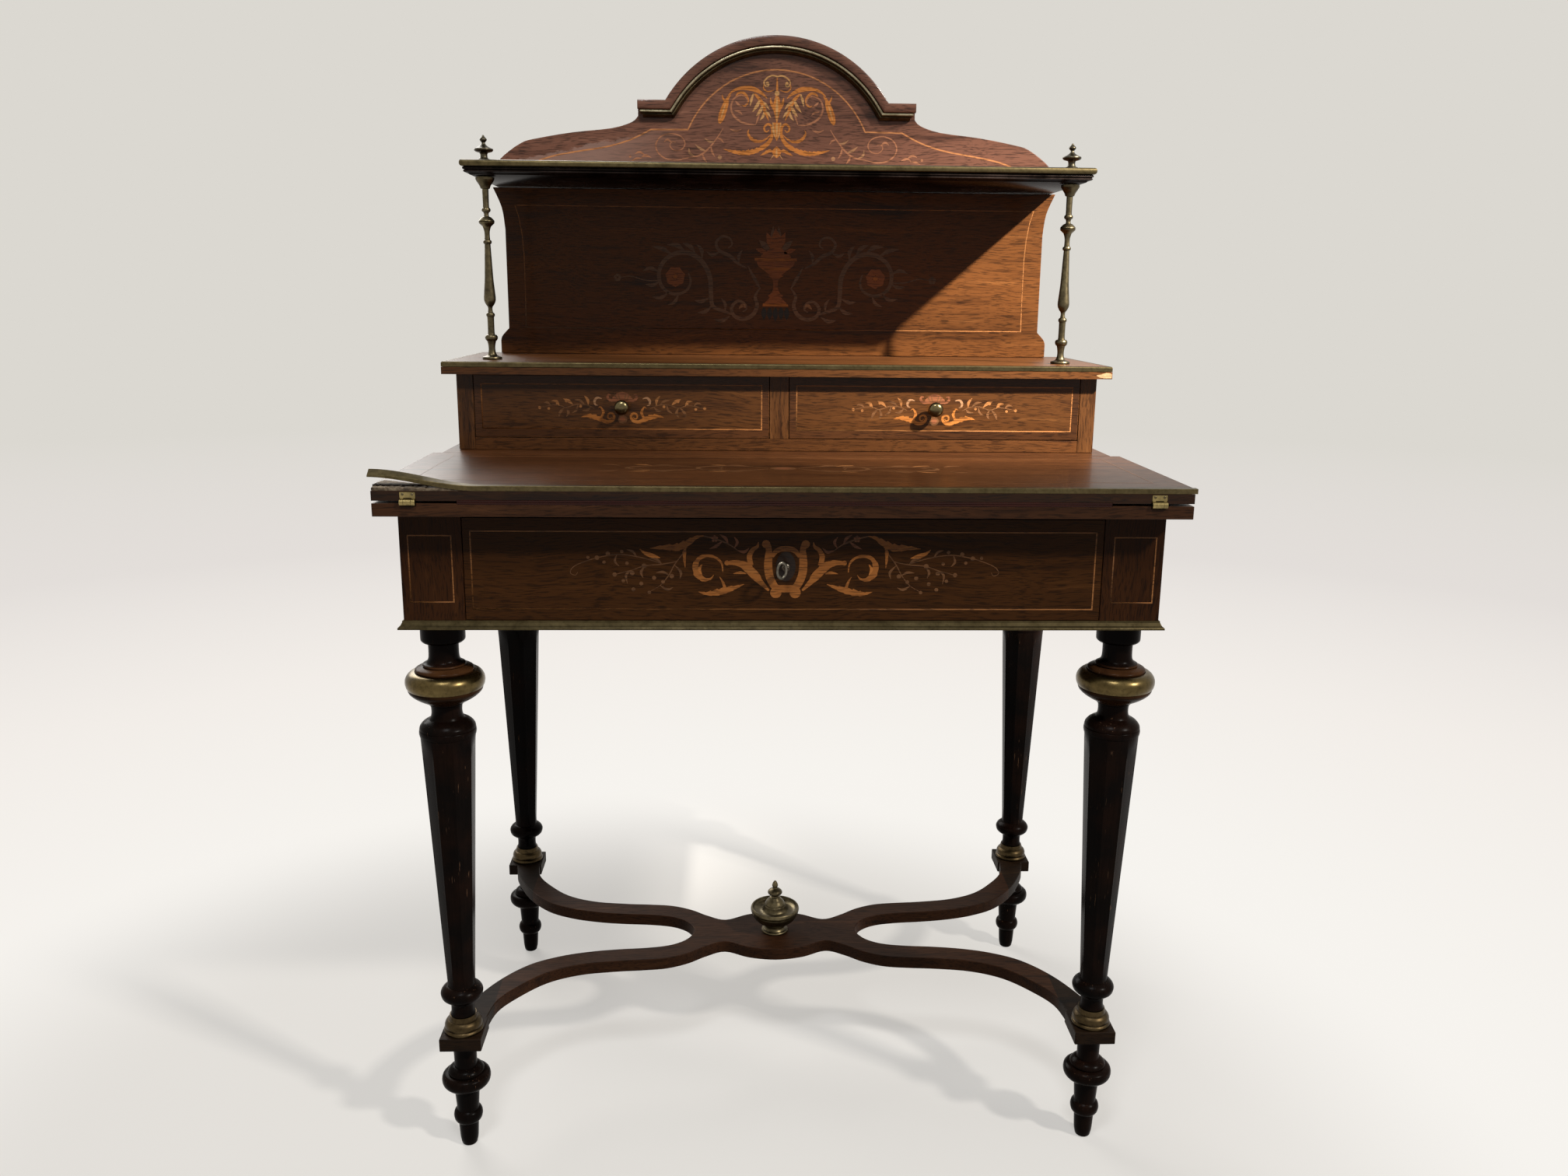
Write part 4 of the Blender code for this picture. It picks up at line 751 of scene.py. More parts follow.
def build_crest_moulding():
    low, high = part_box("crest_moulding")
    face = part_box("crest")[0].y
    ear = high.x
    level = high.z - ARCH_RISE
    path = [(-ear, level), *arch_path(ARCH_HALF, ARCH_RISE, level, ARCH_STEPS), (ear, level)]
    run = [(x, z, 0.0) for x, z in path]
    parts = (
        ("crest_cap", CREST_CAP, crest_wood_and_sheen, "rosewood", ["crest_moulding"], 0.0),
        ("crest_bead", CREST_BEAD, bead_brass, "brass", [], 3.0),
        ("crest_cove", CREST_COVE, dark_brass, "brass", [], 6.5),
    )
    for name, corners, mat, slot, hidden, shy in parts:
        section = [(down * MM, out * MM * CREST_OUT) for down, out in corners]
        ends = [(-ear + shy * MM, level, 0.0), *run[1:-1], (ear - shy * MM, level, 0.0)]
        bm = bar(ends, section)
        for vert in bm.verts:
            vert.co = Vector((vert.co.x, face - vert.co.z, vert.co.y))
        add_piece(name, bm, mat, "frame", hidden, 28)


SHELF_NOSE = (
    (-4.0, -7.2), (0.2, -7.2), (1.2, -6.5), (1.8, -5.2), (1.9, -3.6), (1.6, -2.0), (0.8, -0.7), (-0.6, 0.0),
    (-4.0, 0.0),
)
SHELF_STEPS = (
    (4.1, 7.2), (2.3, 7.2), (2.3, 7.8), (1.2, 8.4), (0.9, 9.4), (1.3, 10.4), (2.6, 11.0), (2.6, 11.5),
    (1.8, 12.1), (1.8, 13.0), (2.9, 13.7), (6.0, 14.2), (7.6, 15.9),
)


def layered(node, levels):
    """A board of levels of (inset, down) millimetres from a node's top, its back left flush."""
    low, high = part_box(node)
    bm = bmesh.new()
    rings = []
    for inset, down in levels:
        left, right, front, z = low.x + inset * MM, high.x - inset * MM, low.y + inset * MM, high.z - down * MM
        rings.append([bm.verts.new(p) for p in ((left, front, z), (right, front, z), (right, high.y, z), (left, high.y, z))])
    bridge(bm, rings)
    return bm


def build_shelf():
    """A thin top with a brass nose over two reeds that step inwards."""
    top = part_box("shelf")[1].z
    path = [(x, y, top) for x, y, up in three_sides("shelf")]
    bm = bar(path, [(out * MM, up * MM) for out, up in SHELF_NOSE])
    add_piece("shelf_brass_nose", bm, old_brass, "frame", ["shelf_brass_edge"], 40)
    bm = layered("shelf", ((4.1, 0.05), (4.1, 7.2)))
    add_piece("shelf_top", bm, case_wood, "frame", ["shelf"])
    bm = layered("shelf", SHELF_STEPS)
    add_piece("shelf_reeds", bm, reed_black, "frame", [], 50)


STRIP_T = 0.0012
STRIP_LIFT_RUN = 0.110
STRIP_STEPS = 28


def build_strip():
    """The brass angle on the leaf's front arris, sprung up at its left end."""
    low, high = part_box("leaf_brass_strip")
    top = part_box("upper_leaf")[1].z
    lift = high.z - top
    tall = 0.0050
    bm = bmesh.new()
    rings = []
    spots = [(low.x + STRIP_LIFT_RUN * i / STRIP_STEPS, 1 - i / STRIP_STEPS) for i in range(STRIP_STEPS + 1)]
    spots += [(0.0, 0.0), (high.x, 0.0)]
    for x, t in spots:
        rise = lift * t * t * (3 - 2 * t)
        drop = tall * (1 - 0.62 * t * t)
        roof = top + rise
        inner = high.y
        lean = 0.0050 * t
        corners = (
            (low.y, roof - lean - drop), (low.y + STRIP_T, roof - lean - drop), (low.y + STRIP_T, roof - lean - STRIP_T),
            (inner, roof - STRIP_T), (inner, roof), (low.y + 0.0006, roof - lean), (low.y, roof - lean - 0.0006),
        )
        rings.append([bm.verts.new((x, y, z)) for y, z in corners])
    bridge(bm, rings)
    add_piece("brass_angle_strip", bm, old_brass, "leaf", ["leaf_brass_strip"], 25)


def build_torn_edge():
    """Ragged veneer and glue in the rebate that the sprung strip has left open."""
    leaf_low, leaf_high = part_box("upper_leaf")
    strip_low, strip_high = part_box("leaf_brass_strip")
    floor = leaf_high.z - 0.0052
    columns, rows = 64, 5
    bm = bmesh.new()
    grid = []
    for i in range(columns + 1):
        share = i / columns
        x = leaf_low.x + 0.0006 + share * 0.088
        line = []
        for j in range(rows + 1):
            y = leaf_low.y + 0.0004 + (strip_high.y - leaf_low.y - 0.0006) * j / rows
            rough = noise.noise(Vector((x * 260, y * 300, 3.1))) + 0.6 * noise.noise(Vector((x * 800, y * 700, 7.7)))
            height = 0.0026 + 0.0014 * j / rows + 0.0013 * rough
            height *= 1.0 - max(0.0, share - 0.72) / 0.28 * 0.8
            y += 0.0005 * noise.noise(Vector((x * 400, 1.7, j)))
            line.append(bm.verts.new((x, y, floor + max(height, 0.0003))))
        grid.append(line)
    for a, b in zip(grid, grid[1:]):
        for j in range(rows):
            bm.faces.new((a[j], b[j], b[j + 1], a[j + 1]))
    edge = [e for e in bm.edges if e.is_boundary]
    grown = bmesh.ops.extrude_edge_only(bm, edges=edge)
    for vert in grown["geom"]:
        if isinstance(vert, bmesh.types.BMVert):
            vert.co.z = floor + 0.0001
    bmesh.ops.holes_fill(bm, edges=[e for e in bm.edges if e.is_boundary])
    add_piece("torn_veneer", bm, torn_wood, "leaf", [], 20)


def ragged(name, body, spot, edge, mat, tall):
    """A torn patch: a low rough skin over an outline of (u, v) millimetres on a face."""
    middle = Vector((sum(u for u, v in edge) / len(edge), sum(v for u, v in edge) / len(edge)))
    rim = smooth([*edge, edge[0]], 6)[:-1]
    bm = bmesh.new()
    rings = []
    for share, height in ((1.0, -SINK / MM), (0.98, tall * 0.5), (0.7, tall), (0.4, tall), (0.15, tall)):
        ring = []
        for i, point in enumerate(rim):
            jag = 1.0 + 0.10 * noise.noise(Vector((point[0] * 0.6, point[1] * 0.6, 2.0)))
            at = middle + (Vector(point) - middle) * share * jag
            lump = 1.0 + 0.55 * noise.noise(Vector((at.x * 0.5, at.y * 0.5, 5.0))) if height > 0 else 1.0
            ring.append(bm.verts.new(spot(at.x * MM, at.y * MM, height * lump * MM)))
        rings.append(ring)
    bridge(bm, rings)
    add_piece(name, bm, mat, body, [], 25)


def build_damage():
    """Lost veneer at the leaf's left front corner and a bare chip on the case board's right one."""
    low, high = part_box("upper_leaf")
    corner = ((1.5, 9.2), (24.0, 9.0), (52.0, 8.8), (78.0, 9.2), (66.0, 12.0), (44.0, 13.6), (30.0, 18.0), (14.0, 27.0), (3.0, 33.0))
    ragged("lost_veneer", "leaf", lambda u, v, h: (low.x + u, low.y + v, high.z + h), corner, torn_wood, 0.35)
    board_low, board_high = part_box("case_top_board")
    chip = ((0.8, 1.0), (0.8, 6.2), (6.0, 7.4), (12.0, 6.0), (19.0, 4.2), (14.0, 1.6), (7.0, 0.8))
    ragged("bare_chip", "frame", lambda u, v, h: (board_high.x - u, board_low.y - h, board_low.z + v), chip, bare_wood, 0.3)


# Stringing and marquetry
RISE = 0.00010
SINK = 0.00030
THIN = 0.30
BOLD = 1.22
BROAD = 12.0


class Inlay:
    """Thin veneers let into one face; points are millimetres right and up from the face's own middle."""

    def __init__(self, name, body, spot, bold=BOLD):
        self.name = name
        self.bold = bold
        self.body = body
        self.spot = spot
        self.meshes = {}
        self.count = 0

    def level(self):
        self.count += 1
        return RISE * (1.0 + 0.08 * (self.count % 11))

    def solid(self, tone, left, right):
        """A prism between two edges with as many points each."""
        bm = self.meshes.setdefault(tone, bmesh.new())
        high = self.level()
        rings = []
        for a, b in zip(left, right):
            corners = ((a, high), (b, high), (b, -SINK), (a, -SINK))
            rings.append([bm.verts.new(self.spot(u * MM, v * MM, h)) for (u, v), h in corners])
        bridge(bm, rings)

    def both(self, draw, mirror):
        for sign in (1, -1) if mirror else (1,):
            draw(sign)

    def band(self, tone, points, teeth=0, bite=0.45, mirror=True):
        """A curved veneer through (u, v, width) points; teeth cut lobes into its edges."""
        steps = max(5, ceil(5 * teeth / (len(points) - 1)))
        line = smooth(points, steps)
        last = len(line) - 1

        def draw(sign):
            left, right = [], []
            for i, (u, v, w) in enumerate(line):
                a, b = line[max(i - 1, 0)], line[min(i + 1, last)]
                du, dv = b[0] - a[0], b[1] - a[1]
                size = hypot(du, dv) or 1.0
                half = max(w * self.bold if w < BROAD else w, THIN) / 2
                lobe = 1.0 - bite * ((i / last * teeth) % 1.0) if teeth and 0 < i < last else 1.0
                nu, nv = -dv / size * half, du / size * half
                left.append((sign * (u + nu * lobe), v + nv * lobe))
                right.append((sign * (u - nu * (0.5 + 0.5 * lobe)), v - nv * (0.5 + 0.5 * lobe)))
            self.solid(tone, left, right)

        self.both(draw, mirror)

    def dot(self, tone, u, v, r, tall=1.0, mirror=True):
        """A round or oval veneer."""
        turns = [pi * (i / 8 - 0.5) for i in range(9)]

        def draw(sign):
            left = [(sign * u - max(r * cos(t), 0.02), v + r * tall * sin(t)) for t in turns]
            right = [(sign * u + max(r * cos(t), 0.02), v + r * tall * sin(t)) for t in turns]
            self.solid(tone, left, right)

        self.both(draw, mirror)

    def petals(self, tone, u, v, count, length, width, mirror=True):
        """A flower of petals round a point."""
        for i in range(count):
            a = 2 * pi * (i + 0.25) / count
            ends = [(u + d * length * cos(a), v + d * length * sin(a), w) for d, w in ((0.2, 0.4), (0.7, width), (1.0, 0.4))]
            self.band(tone, ends, mirror=mirror)

    def line(self, tone, points, width=1.2, closed=False, mirror=False):
        """A thin string along straight runs with mitred corners."""
        spots = [Vector(p) for p in points]
        count = len(spots)

        def draw(sign):
            left, right = [], []
            for i, spot in enumerate(spots):
                before = spots[i - 1] if i or closed else None
                after = spots[(i + 1) % count] if i < count - 1 or closed else None
                ways = [w.normalized() for w in (spot - before if before else None, after - spot if after else None) if w]
                normals = [Vector((-w.y, w.x)) for w in ways]
                mitre = sum(normals, Vector((0, 0))) / (1 + normals[0].dot(normals[-1])) if len(normals) > 1 else normals[0]
                a, b = spot + mitre * width / 2, spot - mitre * width / 2
                left.append((sign * a.x, a.y))
                right.append((sign * b.x, b.y))
            if closed:
                left.append(left[0])
                right.append(right[0])
            self.solid(tone, left, right)

        self.both(draw, mirror)

    def frame(self, tone, half_u, low, high, width=1.2, middle=0.0):
        corners = [(middle - half_u, low), (middle + half_u, low), (middle + half_u, high), (middle - half_u, high)]
        self.line(tone, corners, width, closed=True)

    def finish(self):
        for tone, bm in self.meshes.items():
            bmesh.ops.remove_doubles(bm, verts=bm.verts, dist=1e-7)
            add_piece(self.name + "_" + tone, bm, TONES[tone], self.body, [], 20)


def facing_front(node, up):
    """Points on a node's front face, measured from its middle line and a level."""
    low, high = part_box(node)
    middle = (low.x + high.x) / 2
    return lambda u, v, h: (middle + u, low.y - h, up + v)


def inlay_crest():
    """A candelabrum of acanthus scrolls under an arched string, with faint scrolls at the sides."""
    work = Inlay("crest_inlay", "frame", facing_front("crest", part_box("crest")[0].z))
    arch = [(x, z) for x, z in arch_path(113.0, 73.0, 56.5, 32)]
    work.line("line", arch, 1.8)
    sweep = smooth(((160.0, 56.0), (186.0, 43.5), (216.0, 34.6), (252.0, 28.6), (286.0, 22.0), (312.0, 12.5), (328.0, 1.5)), 6)
    work.line("line", [(113.0, 56.5), *sweep], 1.8, mirror=True)
    work.band("light", ((0, 121.6, 1.7), (6, 122.4, 1.6), (12, 120.2, 1.6), (16.4, 115.2, 1.6), (15.2, 110.4, 1.5),
                        (11.6, 110.0, 1.4), (10.4, 112.6, 1.2)))
    work.dot("light", 12.4, 113.4, 2.0)
    work.band("amber", ((16.6, 112.4, 0.5), (17.2, 107.4, 1.2), (12.0, 103.4, 1.3), (4.0, 105.2, 0.6)))
    work.band("amber", ((0, 120.0, 1.0), (0, 110.0, 2.0), (0, 104.6, 2.2)), mirror=False)
    work.dot("light", 0, 101.4, 3.0, 1.1, mirror=False)
    work.band("amber", ((0, 98.6, 3.0), (0, 94.0, 5.6), (0, 88.0, 7.6), (0, 80.0, 6.4), (0, 72.0, 3.2), (0, 65.8, 0.4)), mirror=False)
    work.band("light", ((0, 96.0, 0.6), (0, 86.0, 2.6), (0, 76.0, 1.8), (0, 68.0, 0.3)), mirror=False)
    work.band("amber", ((8.6, 96.4, 0.4), (7.2, 90.0, 2.8), (4.0, 83.0, 2.6), (1.6, 75.0, 0.4)))
    work.band("amber", ((12.6, 95.4, 0.8), (20.0, 101.6, 3.0), (31.6, 106.6, 4.8), (45.8, 107.0, 3.4), (56.0, 103.4, 2.0),
                        (61.8, 98.0, 1.0)))
    work.band("amber", ((62.0, 97.0, 1.2), (64.6, 89.0, 5.6), (68.0, 80.0, 7.2), (71.2, 70.4, 6.4), (73.0, 64.6, 2.2)), 5, 0.12)
    work.band("light", ((65.4, 88.0, 0.5), (68.4, 79.0, 1.5), (71.4, 70.0, 0.4)))
    work.band("amber", ((64.6, 92.0, 2.2), (61.0, 96.0, 1.8), (58.6, 99.0, 0.3)))
    work.band("amber", ((66.0, 91.0, 2.2), (68.6, 95.0, 1.6), (69.6, 99.4, 0.3)))
    work.band("amber", ((29.0, 101.0, 1.6), (22.0, 94.0, 3.6), (17.0, 85.0, 3.8), (13.4, 76.0, 2.6), (10.4, 68.6, 0.4)))
    for lobe in (((22, 93, 1.6), (25.6, 86, 3.4), (31, 79, 0.3)), ((18, 87, 1.6), (21.4, 80, 3.4), (26.4, 74, 0.3)),
                 ((20, 92, 1.2), (14.6, 88, 2.8), (9.6, 82, 0.3)), ((15.6, 81, 1.2), (17.6, 74, 2.6), (21.6, 69, 0.3)),
                 ((30, 101, 1.2), (32.6, 93, 2.6), (34, 86, 0.3)), ((15, 81, 1.0), (11, 77, 2.2), (7.6, 72, 0.3))):
        work.band("light", lobe)
    work.band("faint", ((21.6, 82.0, 0.8), (24.0, 72.0, 2.0), (27.0, 63.6, 0.4)))
    work.band("faint", ((27.0, 63.4, 0.5), (36.0, 64.0, 1.8), (46.0, 67.0, 2.1), (55.0, 74.0, 2.1), (58.4, 84.0, 1.9),
                        (55.0, 94.0, 1.7), (46.0, 98.6, 1.6), (39.4, 96.0, 1.4), (37.4, 90.6, 1.2), (41.0, 87.4, 0.8)))
    work.band("faint", ((53.0, 92.0, 0.6), (49.4, 88.0, 2.4), (45.0, 85.0, 0.3)))
    work.band("faint", ((54.0, 80.0, 0.6), (48.0, 79.0, 2.2), (44.0, 75.4, 0.3)))
    work.band("amber", ((53.0, 95.6, 0.6), (49.4, 100.8, 2.0), (43.4, 101.8, 2.5), (38.4, 97.4, 2.4), (36.8, 91.0, 1.9),
                        (40.4, 86.0, 1.5), (45.0, 87.0, 0.5)))
    work.band("amber", ((0, 66.4, 9.0), (0, 60.0, 8.8), (0, 52.0, 5.4), (0, 44.6, 0.6)), mirror=False)
    work.band("light", ((5.0, 66.6, 0.6), (4.6, 58.0, 2.2), (1.9, 47.6, 0.4)))
    work.band("light", ((0, 65.6, 1.6), (0, 58.0, 2.4), (0, 49.0, 0.4)), mirror=False)
    work.band("amber", ((10.2, 57.6, 0.8), (12.4, 55.2, 1.2), (15.4, 56.6, 1.7), (15.8, 61.0, 2.0), (11.6, 64.4, 2.3),
                        (7.2, 62.2, 2.5), (5.6, 56.0, 2.8), (6.8, 48.0, 3.3), (12.0, 40.4, 4.2), (20.0, 35.0, 4.8)))
    work.band("amber", ((19.0, 35.6, 4.4), (31.0, 30.9, 6.0), (44.0, 29.4, 5.2), (57.0, 31.0, 3.4), (68.0, 33.6, 0.3)), 9)
    work.band("amber", ((8.0, 51.6, 0.6), (14.0, 46.4, 2.0), (21.0, 43.6, 3.0), (28.6, 44.5, 3.8), (34.2, 48.6, 3.4),
                        (36.8, 54.0, 1.8), (35.4, 58.0, 0.3)), 7)
    work.band("amber", ((0, 37.6, 0.8), (0, 33.0, 8.4), (0, 28.0, 8.0), (0, 23.6, 1.0)), mirror=False)
    work.band("amber", ((3.0, 31.0, 1.0), (9.0, 32.4, 3.6), (15.0, 29.4, 3.0), (21.0, 26.4, 0.3)), 4)
    work.band("light", ((4.0, 27.0, 1.0), (7.8, 21.8, 0.3)))
    work.band("light", ((0, 35.0, 0.6), (0, 29.0, 2.0), (0, 24.4, 0.4)), mirror=False)
    work.band("faint", ((68.4, 58.7, 0.6), (74.0, 50.0, 1.1), (80.0, 42.0, 1.4), (88.0, 33.0, 1.7), (99.0, 25.4, 1.7),
                        (117.0, 21.6, 0.8), (128.0, 19.4, 1.2), (142.0, 21.2, 1.4), (152.0, 29.0, 1.4), (153.8, 39.0, 1.3),
                        (147.0, 48.0, 1.3), (134.0, 51.4, 1.2), (122.0, 48.0, 1.2), (117.0, 40.0, 1.1), (121.0, 32.6, 1.0),
                        (130.0, 31.0, 1.0), (136.0, 36.0, 0.9), (134.0, 41.4, 0.8), (129.0, 41.0, 0.6)))
    for leaf in (((80, 42, 0.5), (86, 42.6, 2.4), (92, 46.4, 0.3)), ((84, 37, 0.5), (82.6, 30, 2.2), (79, 24, 0.3)),
                 ((90, 31, 0.5), (97, 33.4, 2.6), (104, 38.6, 0.3)), ((95, 28, 0.5), (93, 22, 2.2), (89, 17, 0.3)),
                 ((104, 24, 0.5), (111, 28, 2.4), (112, 34.6, 0.3)), ((133, 40, 0.4), (139, 44, 2.4), (144, 41, 0.3)),
                 ((76, 47, 0.5), (71, 45, 2.0), (67.6, 41, 0.3)), ((60, 58, 0.4), (52, 55.6, 2.4), (45, 58, 0.3)),
                 ((160, 22, 0.4), (167, 24.4, 2.6), (173, 22, 0.4)), ((168, 25, 0.4), (175, 28.6, 2.4), (181, 26, 0.3)),
                 ((172, 21, 0.4), (179, 20.6, 2.2), (185, 17.6, 0.3))):
        work.band("pale" if leaf[0][0] in (90, 104, 80) else "faint", leaf)
    work.dot("pale", 72.7, 23.5, 2.6)
    work.dot("faint", 187.0, 23.0, 1.6)
    work.finish()


def inlay_panel():
    """A flaming urn between two large spiral scrolls, inside a thin string."""
    low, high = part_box("back_panel")
    work = Inlay("panel_inlay", "frame", facing_front("back_panel", low.z), 1.75)
    edge = [(326.5, 33.5), (326.0, 80.0), (326.0, 125.0), (327.5, 150.0), (331.0, 172.0), (335.5, 187.0)]
    work.line("string", [(-x, z) for x, z in edge] + list(reversed(edge)), 1.1, closed=True)
    work.band("urn", ((0, 125.0, 40.0), (0, 129.0, 36.0), (0, 133.0, 24.0), (0, 137.0, 16.0)), mirror=False)
    work.band("amber", ((0, 120.8, 55.0), (0, 124.6, 55.0)), mirror=False)
    work.band("urn", ((0, 120.6, 50.0), (0, 114.0, 44.0), (0, 106.0, 22.0), (0, 100.0, 7.0), (0, 97.0, 4.0)), mirror=False)
    work.band("amber", ((0, 112.6, 40.0), (0, 109.4, 30.0)), mirror=False)
    work.band("urn", ((0, 97.0, 4.0), (0, 88.0, 3.4), (0, 80.0, 7.0), (0, 72.0, 20.0), (0, 67.0, 30.0)), mirror=False)
    work.band("amber", ((0, 66.8, 33.0), (0, 63.2, 34.0)), mirror=False)
    work.band("urn", ((0, 137.0, 3.0), (0.6, 149.0, 7.0), (-0.6, 162.0, 0.3)), mirror=False)
    for flame in (((4, 136, 2), (7.6, 146, 5), (12, 157, 0.3)), ((8, 134, 1.6), (15, 141, 4.4), (21.6, 147, 0.3)),
                  ((11, 131, 1.2), (19, 134, 3.4), (26, 136, 0.3)), ((2, 140, 1), (4, 152, 3.4), (3.4, 165, 0.3))):
        work.band("urn" if flame[0][0] in (4, 11) else "scroll", flame)
    work.band("scroll", ((52, 51, 1.0), (66, 56, 2.0), (82, 63, 2.8), (84.6, 80, 3.2), (86, 100, 3.4), (95, 118, 3.4),
                        (110, 129, 3.4), (128, 130, 3.2), (144, 121, 3.0), (152, 106, 2.8), (150, 90, 2.6), (140, 80, 2.3),
                        (127, 78, 2.1), (115, 84, 1.9), (111, 95, 1.6), (114, 105, 1.0)))
    work.petals("urn", 131.0, 100.0, 7, 13.0, 6.4)
    work.dot("amber", 131.0, 100.0, 3.2)
    work.band("scroll", ((38, 112, 0.8), (50, 118, 2.0), (60, 127, 2.6), (73, 133, 2.3), (77.6, 143, 2.0), (70, 151, 1.8),
                        (60, 149, 1.5), (57, 141.4, 1.2), (62, 137, 0.8)))
    work.band("scroll", ((20, 87, 0.8), (26.6, 76, 2.2), (24, 64, 2.8), (30, 52, 3.0), (42, 46.6, 2.8), (54, 50.6, 2.6),
                        (57.6, 61, 2.4), (50, 69.4, 2.1), (41, 67, 1.7), (38, 60, 1.3), (43, 56, 0.8)))
    work.band("pale", ((38.6, 61, 0.6), (42.6, 64.4, 3.0), (48.0, 60.0, 0.4)))
    work.band("scroll", ((19.6, 85, 0.6), (27, 98, 2.8), (36.6, 115, 0.4)), 4)
    for leaf in (((105, 130, 0.6), (111, 138, 3.6), (121, 142.4, 0.4)), ((118, 132, 0.6), (128, 139.4, 3.8), (141, 140, 0.4)),
                 ((135, 128, 0.6), (147, 135, 3.6), (161, 137.6, 0.4)), ((96, 123, 0.6), (96.6, 134, 3.2), (103, 141, 0.3)),
                 ((152, 106, 0.6), (163, 110.4, 3.2), (173, 107, 0.3)), ((151, 94, 0.6), (161, 89, 3.0), (170, 90, 0.3)),
                 ((60, 50, 0.5), (70, 44.6, 3.2), (81, 46, 0.3)), ((83, 64, 0.5), (92, 56, 3.2), (102, 54.6, 0.3)),
                 ((86, 74, 0.5), (97, 69, 3.0), (106, 70, 0.3)), ((140, 80, 0.5), (150, 73, 3.0), (161, 74, 0.3)),
                 ((127, 78, 0.5), (132, 68, 2.8), (141, 64, 0.3)), ((72, 133, 0.5), (82, 128, 2.8), (90, 132, 0.3)),
                 ((48, 117, 0.5), (48, 127, 2.6), (43, 135, 0.3)), ((66, 56, 0.5), (66, 66, 2.6), (71, 73, 0.3))):
        work.band("scroll", leaf, 3, 0.3)
    work.band("scroll", ((151, 95, 0.8), (170, 95, 0.9), (188, 100, 0.8), (201, 98.6, 0.4)))
    work.petals("scroll", 206.0, 98.2, 5, 5.0, 2.6)
    for tassel in (7.5, 15.0):
        work.band("shade", ((tassel, 61.6, 1.2), (tassel, 54.0, 4.0), (tassel, 46.0, 0.3)))
    work.band("shade", ((0, 61.6, 1.2), (0, 53.0, 4.0), (0, 44.0, 0.3)), mirror=False)
    work.finish()


